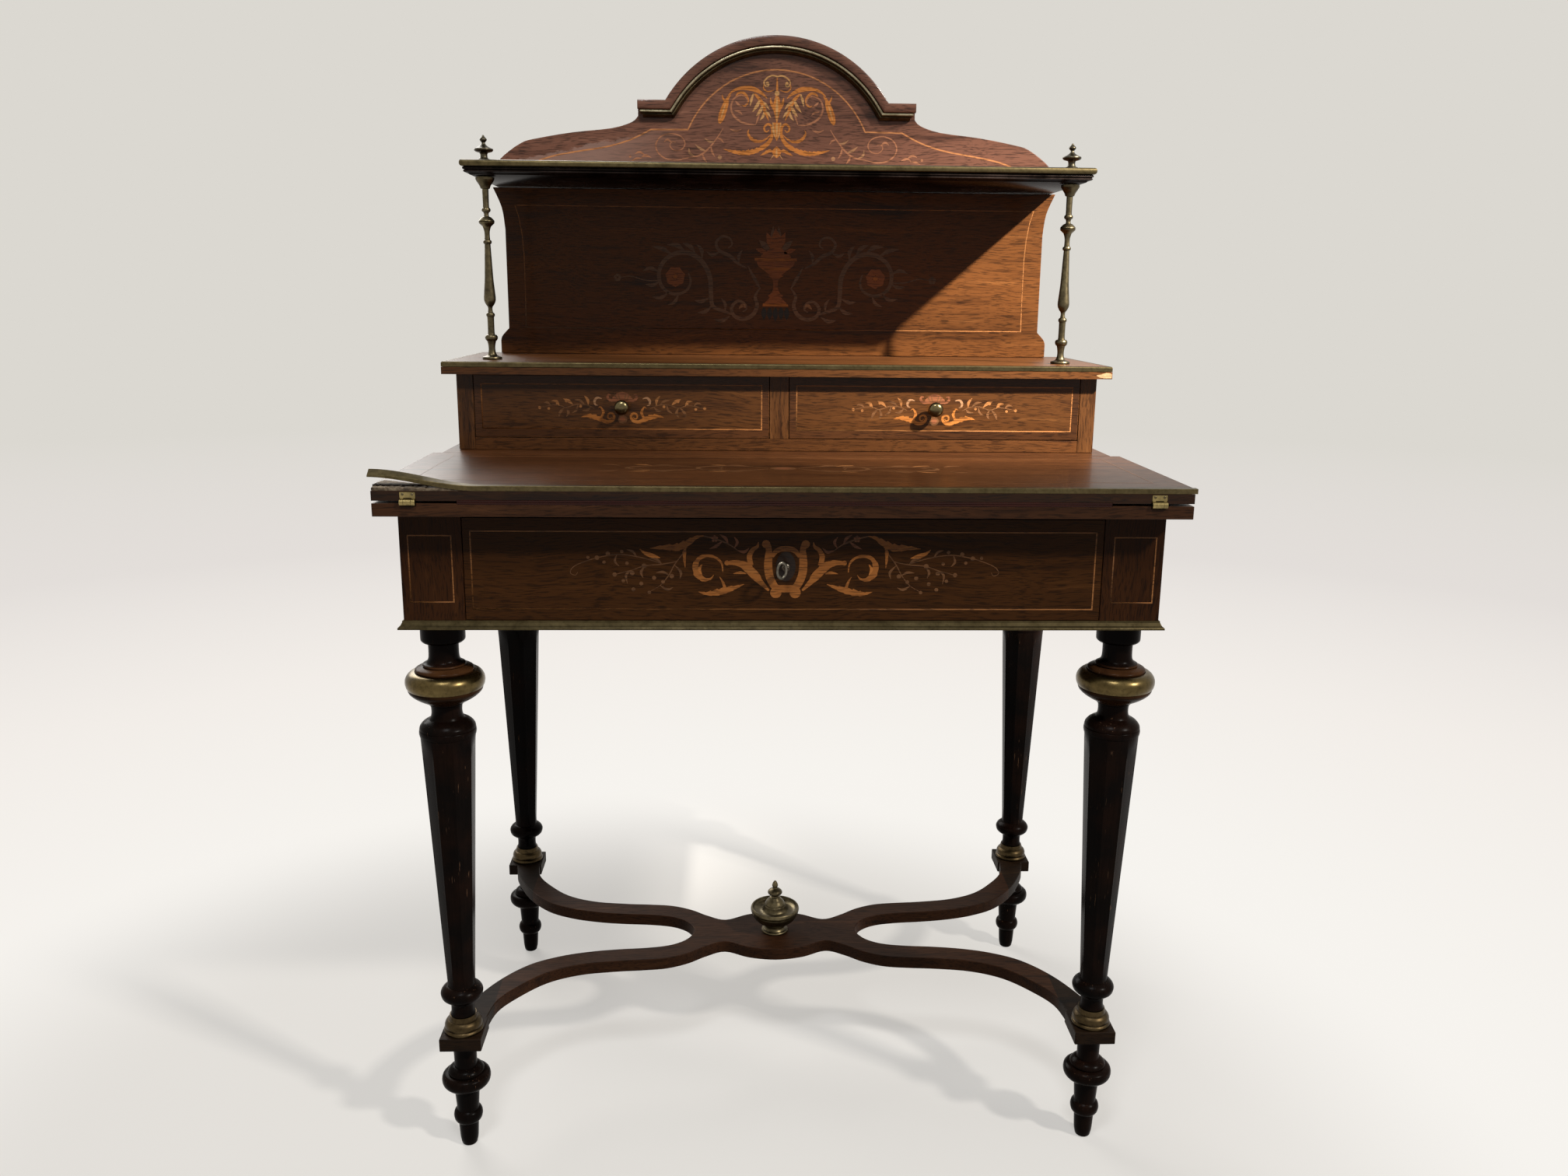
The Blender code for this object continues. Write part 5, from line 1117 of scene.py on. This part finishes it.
def inlay_writing_drawer():
    """A lyre-shaped cartouche round the keyhole, with acanthus arms, volutes and berry sprays."""
    low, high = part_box("writing_drawer_front")
    key = [j for j in frame["joints"] if j["name"] == "key_turn"][0]["pos_m"]
    work = Inlay("writing_drawer_inlay", "writing_drawer", facing_front("writing_drawer_front", key[2]))
    work.frame("string", 315.6, -44.6, 35.4, 1.3)
    work.dot("shade", 0.0, 0.0, 10.1, 1.52, mirror=False)
    work.band("honey", ((7.0, -24.6, 5.4), (12.6, -18.6, 6.4), (16.6, -9.0, 6.8), (17.8, 1.0, 6.8), (17.4, 10.0, 6.2),
                        (17.2, 17.0, 5.0), (18.6, 22.4, 4.6), (21.6, 24.4, 2.6)))
    work.band("honey", ((0, 18.4, 4.6), (5.6, 17.8, 4.4), (10.4, 15.0, 4.0), (13.8, 9.6, 2.4)))
    work.dot("honey", 20.0, 23.0, 4.2)
    work.dot("honey", 9.8, -27.2, 5.8)
    work.band("dusk", ((11.6, -17.0, 0.4), (16.0, -8.0, 0.8), (17.6, 1.0, 0.9), (17.2, 10.0, 0.8), (16.8, 16.0, 0.4)))
    work.band("honey", ((0, -19.4, 18.0), (0, -23.0, 16.0), (0, -27.0, 5.0)), mirror=False)
    work.band("honey", ((17.0, -25.0, 1.6), (25.0, -16.4, 5.2), (33.0, -7.0, 8.4), (41.0, 0.6, 7.6), (50.0, 3.8, 5.0),
                        (59.4, 3.6, 3.6)), 4, 0.25)
    work.dot("honey", 59.4, 3.6, 2.6)
    work.band("honey", ((35.0, 1.0, 4.0), (36.8, 10.0, 4.4), (33.6, 17.0, 3.6), (29.0, 20.4, 2.6), (27.8, 25.0, 0.5)))
    work.band("honey", ((40.0, -7.6, 0.6), (46.0, -6.4, 2.4), (53.0, -7.6, 0.4)))
    work.band("honey", ((63.6, -6.0, 0.8), (64.8, 3.0, 1.8), (71.0, 9.2, 2.4), (80.0, 10.9, 2.8), (88.0, 7.6, 3.8),
                        (91.4, -0.4, 5.6), (89.0, -8.4, 6.6), (83.0, -13.6, 4.0), (76.4, -13.0, 1.9), (72.8, -9.0, 0.5)), 8, 0.3)
    work.band("amber", ((84.4, 2.0, 0.5), (87.2, -3.0, 2.6), (84.6, -8.6, 0.4)))
    work.band("honey", ((42.0, -18.4, 0.5), (50.0, -21.4, 3.2), (60.0, -24.4, 6.0), (70.0, -27.0, 6.0), (80.0, -28.2, 3.4),
                        (88.4, -26.4, 0.4)), 7)
    work.band("honey", ((61.4, -22.6, 2.6), (64.0, -15.6, 1.8), (67.0, -10.8, 0.3)))
    work.band("honey", ((83.0, 31.4, 0.8), (91.0, 29.4, 3.4), (100.0, 23.6, 6.4), (110.0, 19.6, 7.0), (122.0, 19.6, 4.8),
                        (136.6, 18.4, 0.4)), 7)
    work.band("honey", ((101.0, 22.0, 2.2), (102.4, 12.0, 3.4), (101.6, -1.4, 0.4)), 3)
    work.band("amber", ((126.6, 8.6, 0.5), (135.0, 11.0, 3.6), (142.0, 13.6, 2.6), (147.0, 17.6, 0.4)))
    work.band("dusk", ((48.6, 16.4, 0.6), (58.0, 23.0, 1.1), (71.8, 28.4, 1.3), (84.0, 31.4, 1.0)))
    work.petals("rose", 71.8, 28.4, 5, 3.6, 2.4)
    for leaf in (((58, 23, 0.5), (61, 29, 2.6), (66.6, 32.6, 0.3)), ((52, 19, 0.5), (49, 25, 2.4), (52.4, 30.6, 0.3)),
                 ((64, 26, 0.5), (70, 21, 2.6), (77, 18, 0.3)), ((48.6, 16.4, 0.5), (42, 15, 2.6), (37, 19, 0.3))):
        work.band("rose", leaf)
    work.band("dusk", ((103, 14, 0.7), (112, 2, 0.9), (118, -9, 0.9), (127, -20, 0.5), (139, -27, 0.4)))
    work.band("dusk", ((110, 5, 0.7), (125, 2, 0.9), (142, 0.4, 0.8), (155, -4, 0.7), (172, -8.6, 0.5)))
    work.band("dusk", ((126, 3, 0.6), (146, 9, 0.8), (168, 12, 0.8), (188, 9, 0.8), (204, 4, 0.7), (214, -1, 0.7),
                        (217, -7, 0.6), (212, -9.4, 0.5), (209.6, -6, 0.4)))
    for u, v, r in ((115.2, -10.2, 2.3), (124, -16, 1.9), (133, -12, 2.1), (142.8, 0.4, 2.5), (146, -18, 2.0), (154.9, -7.1, 2.3),
                    (154, -24, 2.0), (160, 3, 1.8), (172.6, -8.6, 2.2), (165, 15, 1.8), (179, 13, 2.2), (190, 8.6, 2.3),
                    (183, 4, 1.7), (199, 9, 1.7), (138, -27, 1.8), (164, -15, 1.8)):
        work.dot("dusk", u, v, r)
    for leaf in (((118, -9, 0.4), (124, -6, 2.2), (131, -6.6, 0.3)), ((125, 2, 0.4), (130, 7, 2.2), (137, 8, 0.3)),
                 ((142, 0, 0.4), (146, -6, 2.2), (144, -12, 0.3)), ((150, 9, 0.4), (154, 15, 2.0), (160, 17, 0.3)),
                 ((170, 12, 0.4), (172, 5, 2.0), (168, 0, 0.3)), ((112, 1, 0.4), (106, -6, 2.2), (107, -13, 0.3)),
                 ((127, -20, 0.4), (120, -24, 2.2), (114, -22, 0.3)), ((155, -4, 0.4), (161, -9, 2.0), (160, -18, 0.3))):
        work.band("dusk", leaf)
    work.finish()


def inlay_small_drawer(side):
    """A small shell cartouche round the knob with leaf scrolls and floral sprays."""
    low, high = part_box(side + "_drawer_front")
    level = (low.z + high.z) / 2
    work = Inlay(side + "_drawer_inlay", side + "_drawer", facing_front(side + "_drawer_front", level))
    half, tall = (high.x - low.x) / 2 / MM - 0.7, (high.z - low.z) / 2 / MM - 0.7
    work.frame("string", 164.4, -26.0, 26.0, 1.2)
    for sign in (1, -1):
        work.line("border", [(-half, sign * (tall + 26.7) / 2), (half, sign * (tall + 26.7) / 2)], tall - 26.7)
    work.line("border", [((half + 165.1) / 2, -26.6), ((half + 165.1) / 2, 26.6)], half - 165.1, mirror=True)
    work.band("rose", ((0, 17.6, 1.0), (0, 14.6, 14.0), (0, 10.0, 24.0), (0, 6.0, 22.0)), mirror=False)
    for u in (4.2, 8.4):
        work.band("dusk", ((u * 0.6, 8.0, 0.5), (u * 0.9, 12.0, 1.2), (u, 15.4, 0.4)))
    work.band("rose", ((9.0, 7.0, 1.6), (13.6, 7.6, 2.4), (17.0, 10.6, 2.4), (16.0, 14.0, 1.8), (13.2, 13.6, 0.8)))
    work.dot("dusk", 0.0, -14.6, 5.6, 0.9, mirror=False)
    work.dot("rose", 0.0, -14.6, 3.4, 0.9, mirror=False)
    work.band("honey", ((12.6, -12.0, 0.7), (14.6, -14.2, 1.1), (17.2, -12.6, 1.5), (16.6, -8.8, 1.7), (12.6, -7.6, 2.0),
                        (9.8, -11.2, 2.4), (12.6, -16.4, 2.8), (19.6, -17.6, 3.2), (26.0, -15.0, 2.6)))
    work.band("honey", ((18.0, -17.6, 2.4), (26.0, -14.4, 5.2), (34.0, -11.6, 5.6), (42.0, -10.8, 3.6), (49.0, -12.6, 0.4)), 5, 0.5)
    work.band("honey", ((26.0, -14.0, 2.0), (22.4, -7.0, 2.8), (25.4, -0.4, 1.4), (28.4, -1.6, 0.3)), 3, 0.3)
    work.band("pale", ((24.0, 9.4, 0.6), (29.0, 10.6, 2.0), (32.4, 7.0, 2.4), (31.8, 2.6, 1.6), (28.8, 1.6, 0.4)))
    work.band("dusk", ((33.0, -2.0, 0.6), (42.0, 2.0, 1.0), (54.0, 2.6, 1.0), (66.0, -1.0, 0.9), (78.0, 2.0, 0.8), (97.0, -1.4, 0.5)))
    for leaf in (((40, 2, 0.5), (40.6, 8, 2.8), (44.6, 13, 0.3)), ((44, 2.4, 0.5), (49.6, 7, 2.4), (56, 8, 0.3)),
                 ((37, 0, 0.5), (41, -4, 2.4), (47, -4.6, 0.3)), ((58, 2, 0.5), (63, 6.6, 3.0), (69, 9, 0.3)),
                 ((66, -1, 0.5), (63.6, -7, 2.6), (66, -12, 0.3)), ((68, -1, 0.5), (73, -6.6, 2.6), (75, -12.4, 0.3)),
                 ((74, 1, 0.5), (77, 6, 2.4), (83, 6.4, 0.3)), ((84, 1, 0.5), (88, 4.6, 2.2), (93, 3.6, 0.3)),
                 ((52, 2.6, 0.5), (54, -4, 2.2), (59, -7.6, 0.3))):
        work.band("string" if leaf[0][0] in (58, 74, 40) else "dusk", leaf)
    for u, v, r in ((65.6, 6.6, 1.8), (76.0, 3.6, 1.8), (86.4, -2.4, 1.6), (97.0, -1.4, 1.8), (49.0, 0.4, 1.7)):
        work.dot("string", u, v, r)
    work.finish()


def inlay_posts():
    """A plain string on each front corner post."""
    for side, way in SIDES:
        low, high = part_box("corner_post_front_" + side)
        work = Inlay("post_stringing_" + side, "frame", facing_front("corner_post_front_" + side, low.z))
        work.frame("string", 21.4, 28.0, 96.2, 1.2, middle=way * 1.0)
        work.finish()


def inlay_leaf():
    """A faint worn scroll and a border string on the folding leaf."""
    low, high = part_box("upper_leaf")
    middle = (low.y + high.y) / 2 + 0.006
    work = Inlay("leaf_inlay", "leaf", lambda u, v, h: (u, middle + v, high.z + h))
    work.frame("dusk", 372.0, -94.0, 92.0, 1.2)
    work.dot("dusk", 0.0, 0.0, 14.0, 0.8, mirror=False)
    work.dot("rose", 0.0, 0.0, 9.0, 0.8, mirror=False)
    for turn in (1, -1):
        work.band("dusk", ((16, 2 * turn, 1.0), (34, 14 * turn, 3.0), (60, 20 * turn, 3.6), (84, 12 * turn, 3.2),
                            (92, -4 * turn, 2.8), (80, -14 * turn, 2.4), (66, -9 * turn, 1.8), (68, 0, 1.0)))
        work.band("dusk", ((90, 6 * turn, 0.8), (112, 16 * turn, 2.6), (138, 17 * turn, 3.0), (160, 8 * turn, 2.6),
                            (168, -4 * turn, 2.0), (158, -10 * turn, 1.4), (150, -5 * turn, 0.8)))
        for u in (40, 58, 118, 142, 176):
            work.band("string" if u in (58, 142) else "dusk", ((u, 18 * turn, 0.6), (u + 9, 25 * turn, 4.0), (u + 20, 26 * turn, 0.4)), 3, 0.3)
    work.finish()


# Small fittings
GILT_LINE = 1.1
SCREW = (((0.0, 0.0), (1.35, 0.0)), ((1.35, 0.0), (1.3, 0.25), (0.8, 0.5), (0.0, 0.58)))


def build_fittings():
    for side, way in SIDES:
        low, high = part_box("hinge_%s_moving" % side)
        bm = bmesh.new()
        for shift in (-0.0046, 0.0046):
            head = spun(outline(SCREW), (0, 0, 0), 20)
            at = ((low.x + high.x) / 2 + shift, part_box("upper_leaf")[0].y - 0.00005, high.z - 0.0021)
            head.transform(Matrix.Translation(at) @ Matrix.Rotation(pi / 2, 4, "X"))
            mesh = bpy.data.meshes.new("screw_head")
            head.to_mesh(mesh)
            head.free()
            bm.from_mesh(mesh)
            bpy.data.meshes.remove(mesh)
        add_piece("hinge_screws_" + side, bm, dark_brass, "leaf")
    for name, body, up in (("lower_leaf_leather", "frame", 1), ("upper_leaf_leather", "leaf", -1)):
        low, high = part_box(name)
        face = high.z if up > 0 else low.z
        bm = bmesh.new()
        margin = 0.014
        corners = [(low.x + margin, low.y + margin), (high.x - margin, low.y + margin),
                   (high.x - margin, high.y - margin), (low.x + margin, high.y - margin)]
        for inset in (0.0, 0.004):
            rings = []
            for (x, y), (sx, sy) in zip(corners, ((1, 1), (-1, 1), (-1, -1), (1, -1))):
                ring = []
                for step, lift in ((0.0, 0.00012), (GILT_LINE * MM, 0.00012), (GILT_LINE * MM, -0.0002), (0.0, -0.0002)):
                    shift = inset + step
                    ring.append(bm.verts.new((x + sx * shift, y + sy * shift, face + up * lift)))
                rings.append(ring)
            bridge(bm, rings, closed=True)
        add_piece(name.replace("leather", "gilt_lines"), bm, bright_brass, body)


# Finishes of the carried-over parts
PARTS = {
    "crest": crest_wood_and_sheen, "back_panel": panel_wood,
    "case_top_board": case_wood, "case_floor": case_wood, "case_back": back_wood,
    "case_side_left": case_upright, "case_side_right": case_upright, "case_divider": case_upright,
    "left_drawer_front": front_wood, "right_drawer_front": front_wood, "writing_drawer_front": shaded_apron_wood,
    "front_top_rail": shaded_apron_wood, "front_lower_rail": shaded_apron_wood, "back_rail": back_wood,
    "side_rail_left": side_wood, "side_rail_right": side_wood,
    "lower_leaf": shaded_edge_wood, "upper_leaf": leaf_wood_shaded_sides, "rear_top_board": leaf_wood_shaded_sides,
    "apron_brass_moulding": apron_brass, "case_brass_edge": old_brass,
    "lower_leaf_leather": red_leather, "upper_leaf_leather": red_leather,
    "hinge_left_fixed": bright_brass, "hinge_left_moving": bright_brass,
    "hinge_right_fixed": bright_brass, "hinge_right_moving": bright_brass,
    "drawer_lock": steel, "lock_bolt": steel, "drawer_runner_left": oak_side, "drawer_runner_right": oak_side,
    "writing_drawer_box": oak_wood, "writing_drawer_bottom": oak_side,
    "left_drawer_box": oak_wood, "right_drawer_box": oak_wood,
}
ROUNDED = {
    "crest": 0.8, "back_panel": 0.8, "case_top_board": 0.9, "lower_leaf": 1.0, "upper_leaf": 0.8,
    "rear_top_board": 0.9, "left_drawer_front": 0.5, "right_drawer_front": 0.5, "writing_drawer_front": 0.5,
    "case_side_left": 0.5, "case_side_right": 0.5, "case_divider": 0.4, "case_floor": 0.4, "apron_brass_moulding": 0.3,
    "case_brass_edge": 0.4, "corner_post_front_left": 0.8, "corner_post_front_right": 0.8, "corner_post_back_left": 0.8,
    "corner_post_back_right": 0.8, "writing_drawer_box": 0.6, "left_drawer_box": 0.6, "right_drawer_box": 0.6,
}


def dress_parts():
    for corner in CORNERS:
        PARTS["corner_post_" + corner] = shaded_upright_wood
    for name, mat in PARTS.items():
        part = nodes[name]
        part.data.materials.clear()
        part.data.materials.append(mat)
        weld = part.modifiers.new("weld", "WELD")
        weld.merge_threshold = 0.00001
        flat = part.modifiers.new("flat", "DECIMATE")
        flat.decimate_type = "DISSOLVE"
        flat.angle_limit = radians(0.5)
        if name in ROUNDED:
            soften(part, ROUNDED[name])


# Stage, light and camera


def build_stage():
    bm = bmesh.new()
    bmesh.ops.create_grid(bm, x_segments=2, y_segments=2, size=FLOOR_SIZE / 2)
    mesh = bpy.data.meshes.new("floor")
    bm.to_mesh(mesh)
    bm.free()
    floor = bpy.data.objects.new("floor", mesh)
    bpy.context.scene.collection.objects.link(floor)
    f = Finish("floor", gloss=0.0)
    spot = f.place()
    distance = f.add("VectorMath", {0: spot}, operation="LENGTH").outputs["Value"]
    soft = f.noise(spot, 0.8, 2.0).outputs[0]
    rays = f.add("LightPath", {})
    seen = f.add("Math", {0: rays.outputs["Is Camera Ray"], 1: rays.outputs["Is Glossy Ray"]}, operation="ADD")
    seen = f.add("Math", {0: seen.outputs[0], 1: rays.outputs["Is Transmission Ray"]}, operation="ADD", use_clamp=True)
    colour = f.mix("MIX", seen.outputs[0], (*FLOOR_BOUNCE, 1.0), (*FLOOR_COLOUR, 1.0))
    f.finish(f.mix("MULTIPLY", 0.04, colour, soft), 0.9)
    share = f.add("MapRange", {"Value": distance, "From Max": FLOOR_REACH}).outputs["Result"]
    shade = f.ramp(share, FLOOR_TONES)
    glow = f.add("Emission", {"Color": shade, "Strength": 1.0})
    near = f.add("VectorMath", {0: spot, 1: SHADE_AT}, operation="DISTANCE").outputs["Value"]
    far = f.add("MapRange", {"Value": near, "From Min": SHADE_REACH[0], "From Max": SHADE_REACH[1], "To Min": FLOOR_GLOW},
                interpolation_type="SMOOTHSTEP")
    share = f.add("Math", {0: seen.outputs[0], 1: far.outputs["Result"]}, operation="MULTIPLY")
    blend = f.add("MixShader", {"Fac": share.outputs[0], 1: f.shader.outputs[0], 2: glow.outputs[0]})
    f.tree.links.new(blend.outputs[0], f.tree.nodes["Material Output"].inputs["Surface"])
    mesh.materials.append(f.material)


def build_world():
    world = bpy.data.worlds.new("studio")
    bpy.context.scene.world = world
    world.use_nodes = True
    tree = world.node_tree
    output = tree.nodes["World Output"]
    light = tree.nodes["Background"]
    light.inputs["Color"].default_value = (1.0, 0.985, 0.96, 1.0)
    light.inputs["Strength"].default_value = WORLD_LEVEL
    shown = tree.nodes.new("ShaderNodeBackground")
    shown.inputs["Color"].default_value = (*BACKGROUND, 1.0)
    rays = tree.nodes.new("ShaderNodeLightPath")
    mixed = tree.nodes.new("ShaderNodeMixShader")
    plus = [tree.nodes.new("ShaderNodeMath") for i in range(2)]
    for i, name in enumerate(("Is Glossy Ray", "Is Transmission Ray")):
        plus[i].use_clamp = True
        tree.links.new(rays.outputs[name], plus[i].inputs[1])
    tree.links.new(rays.outputs["Is Camera Ray"], plus[0].inputs[0])
    tree.links.new(plus[0].outputs[0], plus[1].inputs[0])
    tree.links.new(plus[1].outputs[0], mixed.inputs["Fac"])
    tree.links.new(light.outputs[0], mixed.inputs[1])
    tree.links.new(shown.outputs[0], mixed.inputs[2])
    tree.links.new(mixed.outputs[0], output.inputs["Surface"])


def add_lamp(name, way, distance, size, level, colour):
    """A square soft light whose level at the aim is a share of full daylight."""
    lamp = bpy.data.lights.new(name, "AREA")
    lamp.shape = "SQUARE"
    lamp.size = size
    lamp.energy = level * (pi * distance) ** 2
    lamp.color = colour
    made = bpy.data.objects.new(name, lamp)
    bpy.context.scene.collection.objects.link(made)
    way = Vector(way).normalized()
    made.location = Vector(AIM) + way * distance
    made.rotation_euler = way.to_track_quat("Z", "Y").to_euler()


def add_accent():
    """A soft-edged spot beside the key that brightens the right-hand side."""
    lamp = bpy.data.lights.new("accent_light", "SPOT")
    lamp.spot_size = radians(ACCENT_CONE)
    lamp.spot_blend = 1.0
    lamp.shadow_soft_size = ACCENT_RADIUS
    reach = Vector(ACCENT_AT) - Vector(ACCENT_AIM)
    lamp.energy = ACCENT_LEVEL * (2 * pi * reach.length) ** 2
    lamp.color = (1.0, 0.94, 0.86)
    made = bpy.data.objects.new("accent_light", lamp)
    bpy.context.scene.collection.objects.link(made)
    made.location = ACCENT_AT
    made.rotation_euler = reach.to_track_quat("Z", "Y").to_euler()


def build_camera():
    lens = bpy.data.cameras.new("camera")
    lens.sensor_fit = "HORIZONTAL"
    lens.sensor_width = SENSOR
    lens.lens = CAMERA_LENS
    made = bpy.data.objects.new("camera", lens)
    bpy.context.scene.collection.objects.link(made)
    level = Matrix(((1, 0, 0), (0, 0, -1), (0, 1, 0)))
    yaw = Matrix.Rotation(-CAMERA_YAW, 3, "Z")
    pitch = Matrix.Rotation(CAMERA_PITCH, 3, "X")
    roll = Matrix.Rotation(-CAMERA_ROLL, 3, "Z")
    right, down, ahead = roll @ pitch @ level @ yaw
    axes = Matrix((right, -down, -ahead)).transposed()
    made.matrix_world = Matrix.Translation(CAMERA_AT) @ axes.to_4x4()
    bpy.context.scene.camera = made


build_camera()
build_world()
build_stage()
add_lamp("key_light", KEY_FROM, KEY_DISTANCE, KEY_SIZE, KEY_LEVEL, (1.0, 0.955, 0.89))
add_accent()
add_lamp("fill_light", FILL_FROM, FILL_DISTANCE, FILL_SIZE, FILL_LEVEL, (0.96, 0.98, 1.0))
add_lamp("back_light", BACK_FROM, BACK_DISTANCE, BACK_SIZE, BACK_LEVEL, (1.0, 0.98, 0.95))
dress_parts()
build_legs()
build_stretcher()
build_turnings()
build_key()
build_crest_moulding()
build_shelf()
build_strip()
build_torn_edge()
build_damage()
inlay_crest()
inlay_panel()
inlay_writing_drawer()
for side, way in SIDES:
    inlay_small_drawer(side)
inlay_posts()
inlay_leaf()
build_fittings()
bpy.context.scene.view_settings.view_transform = "Standard"

bpy.context.view_layer.update()
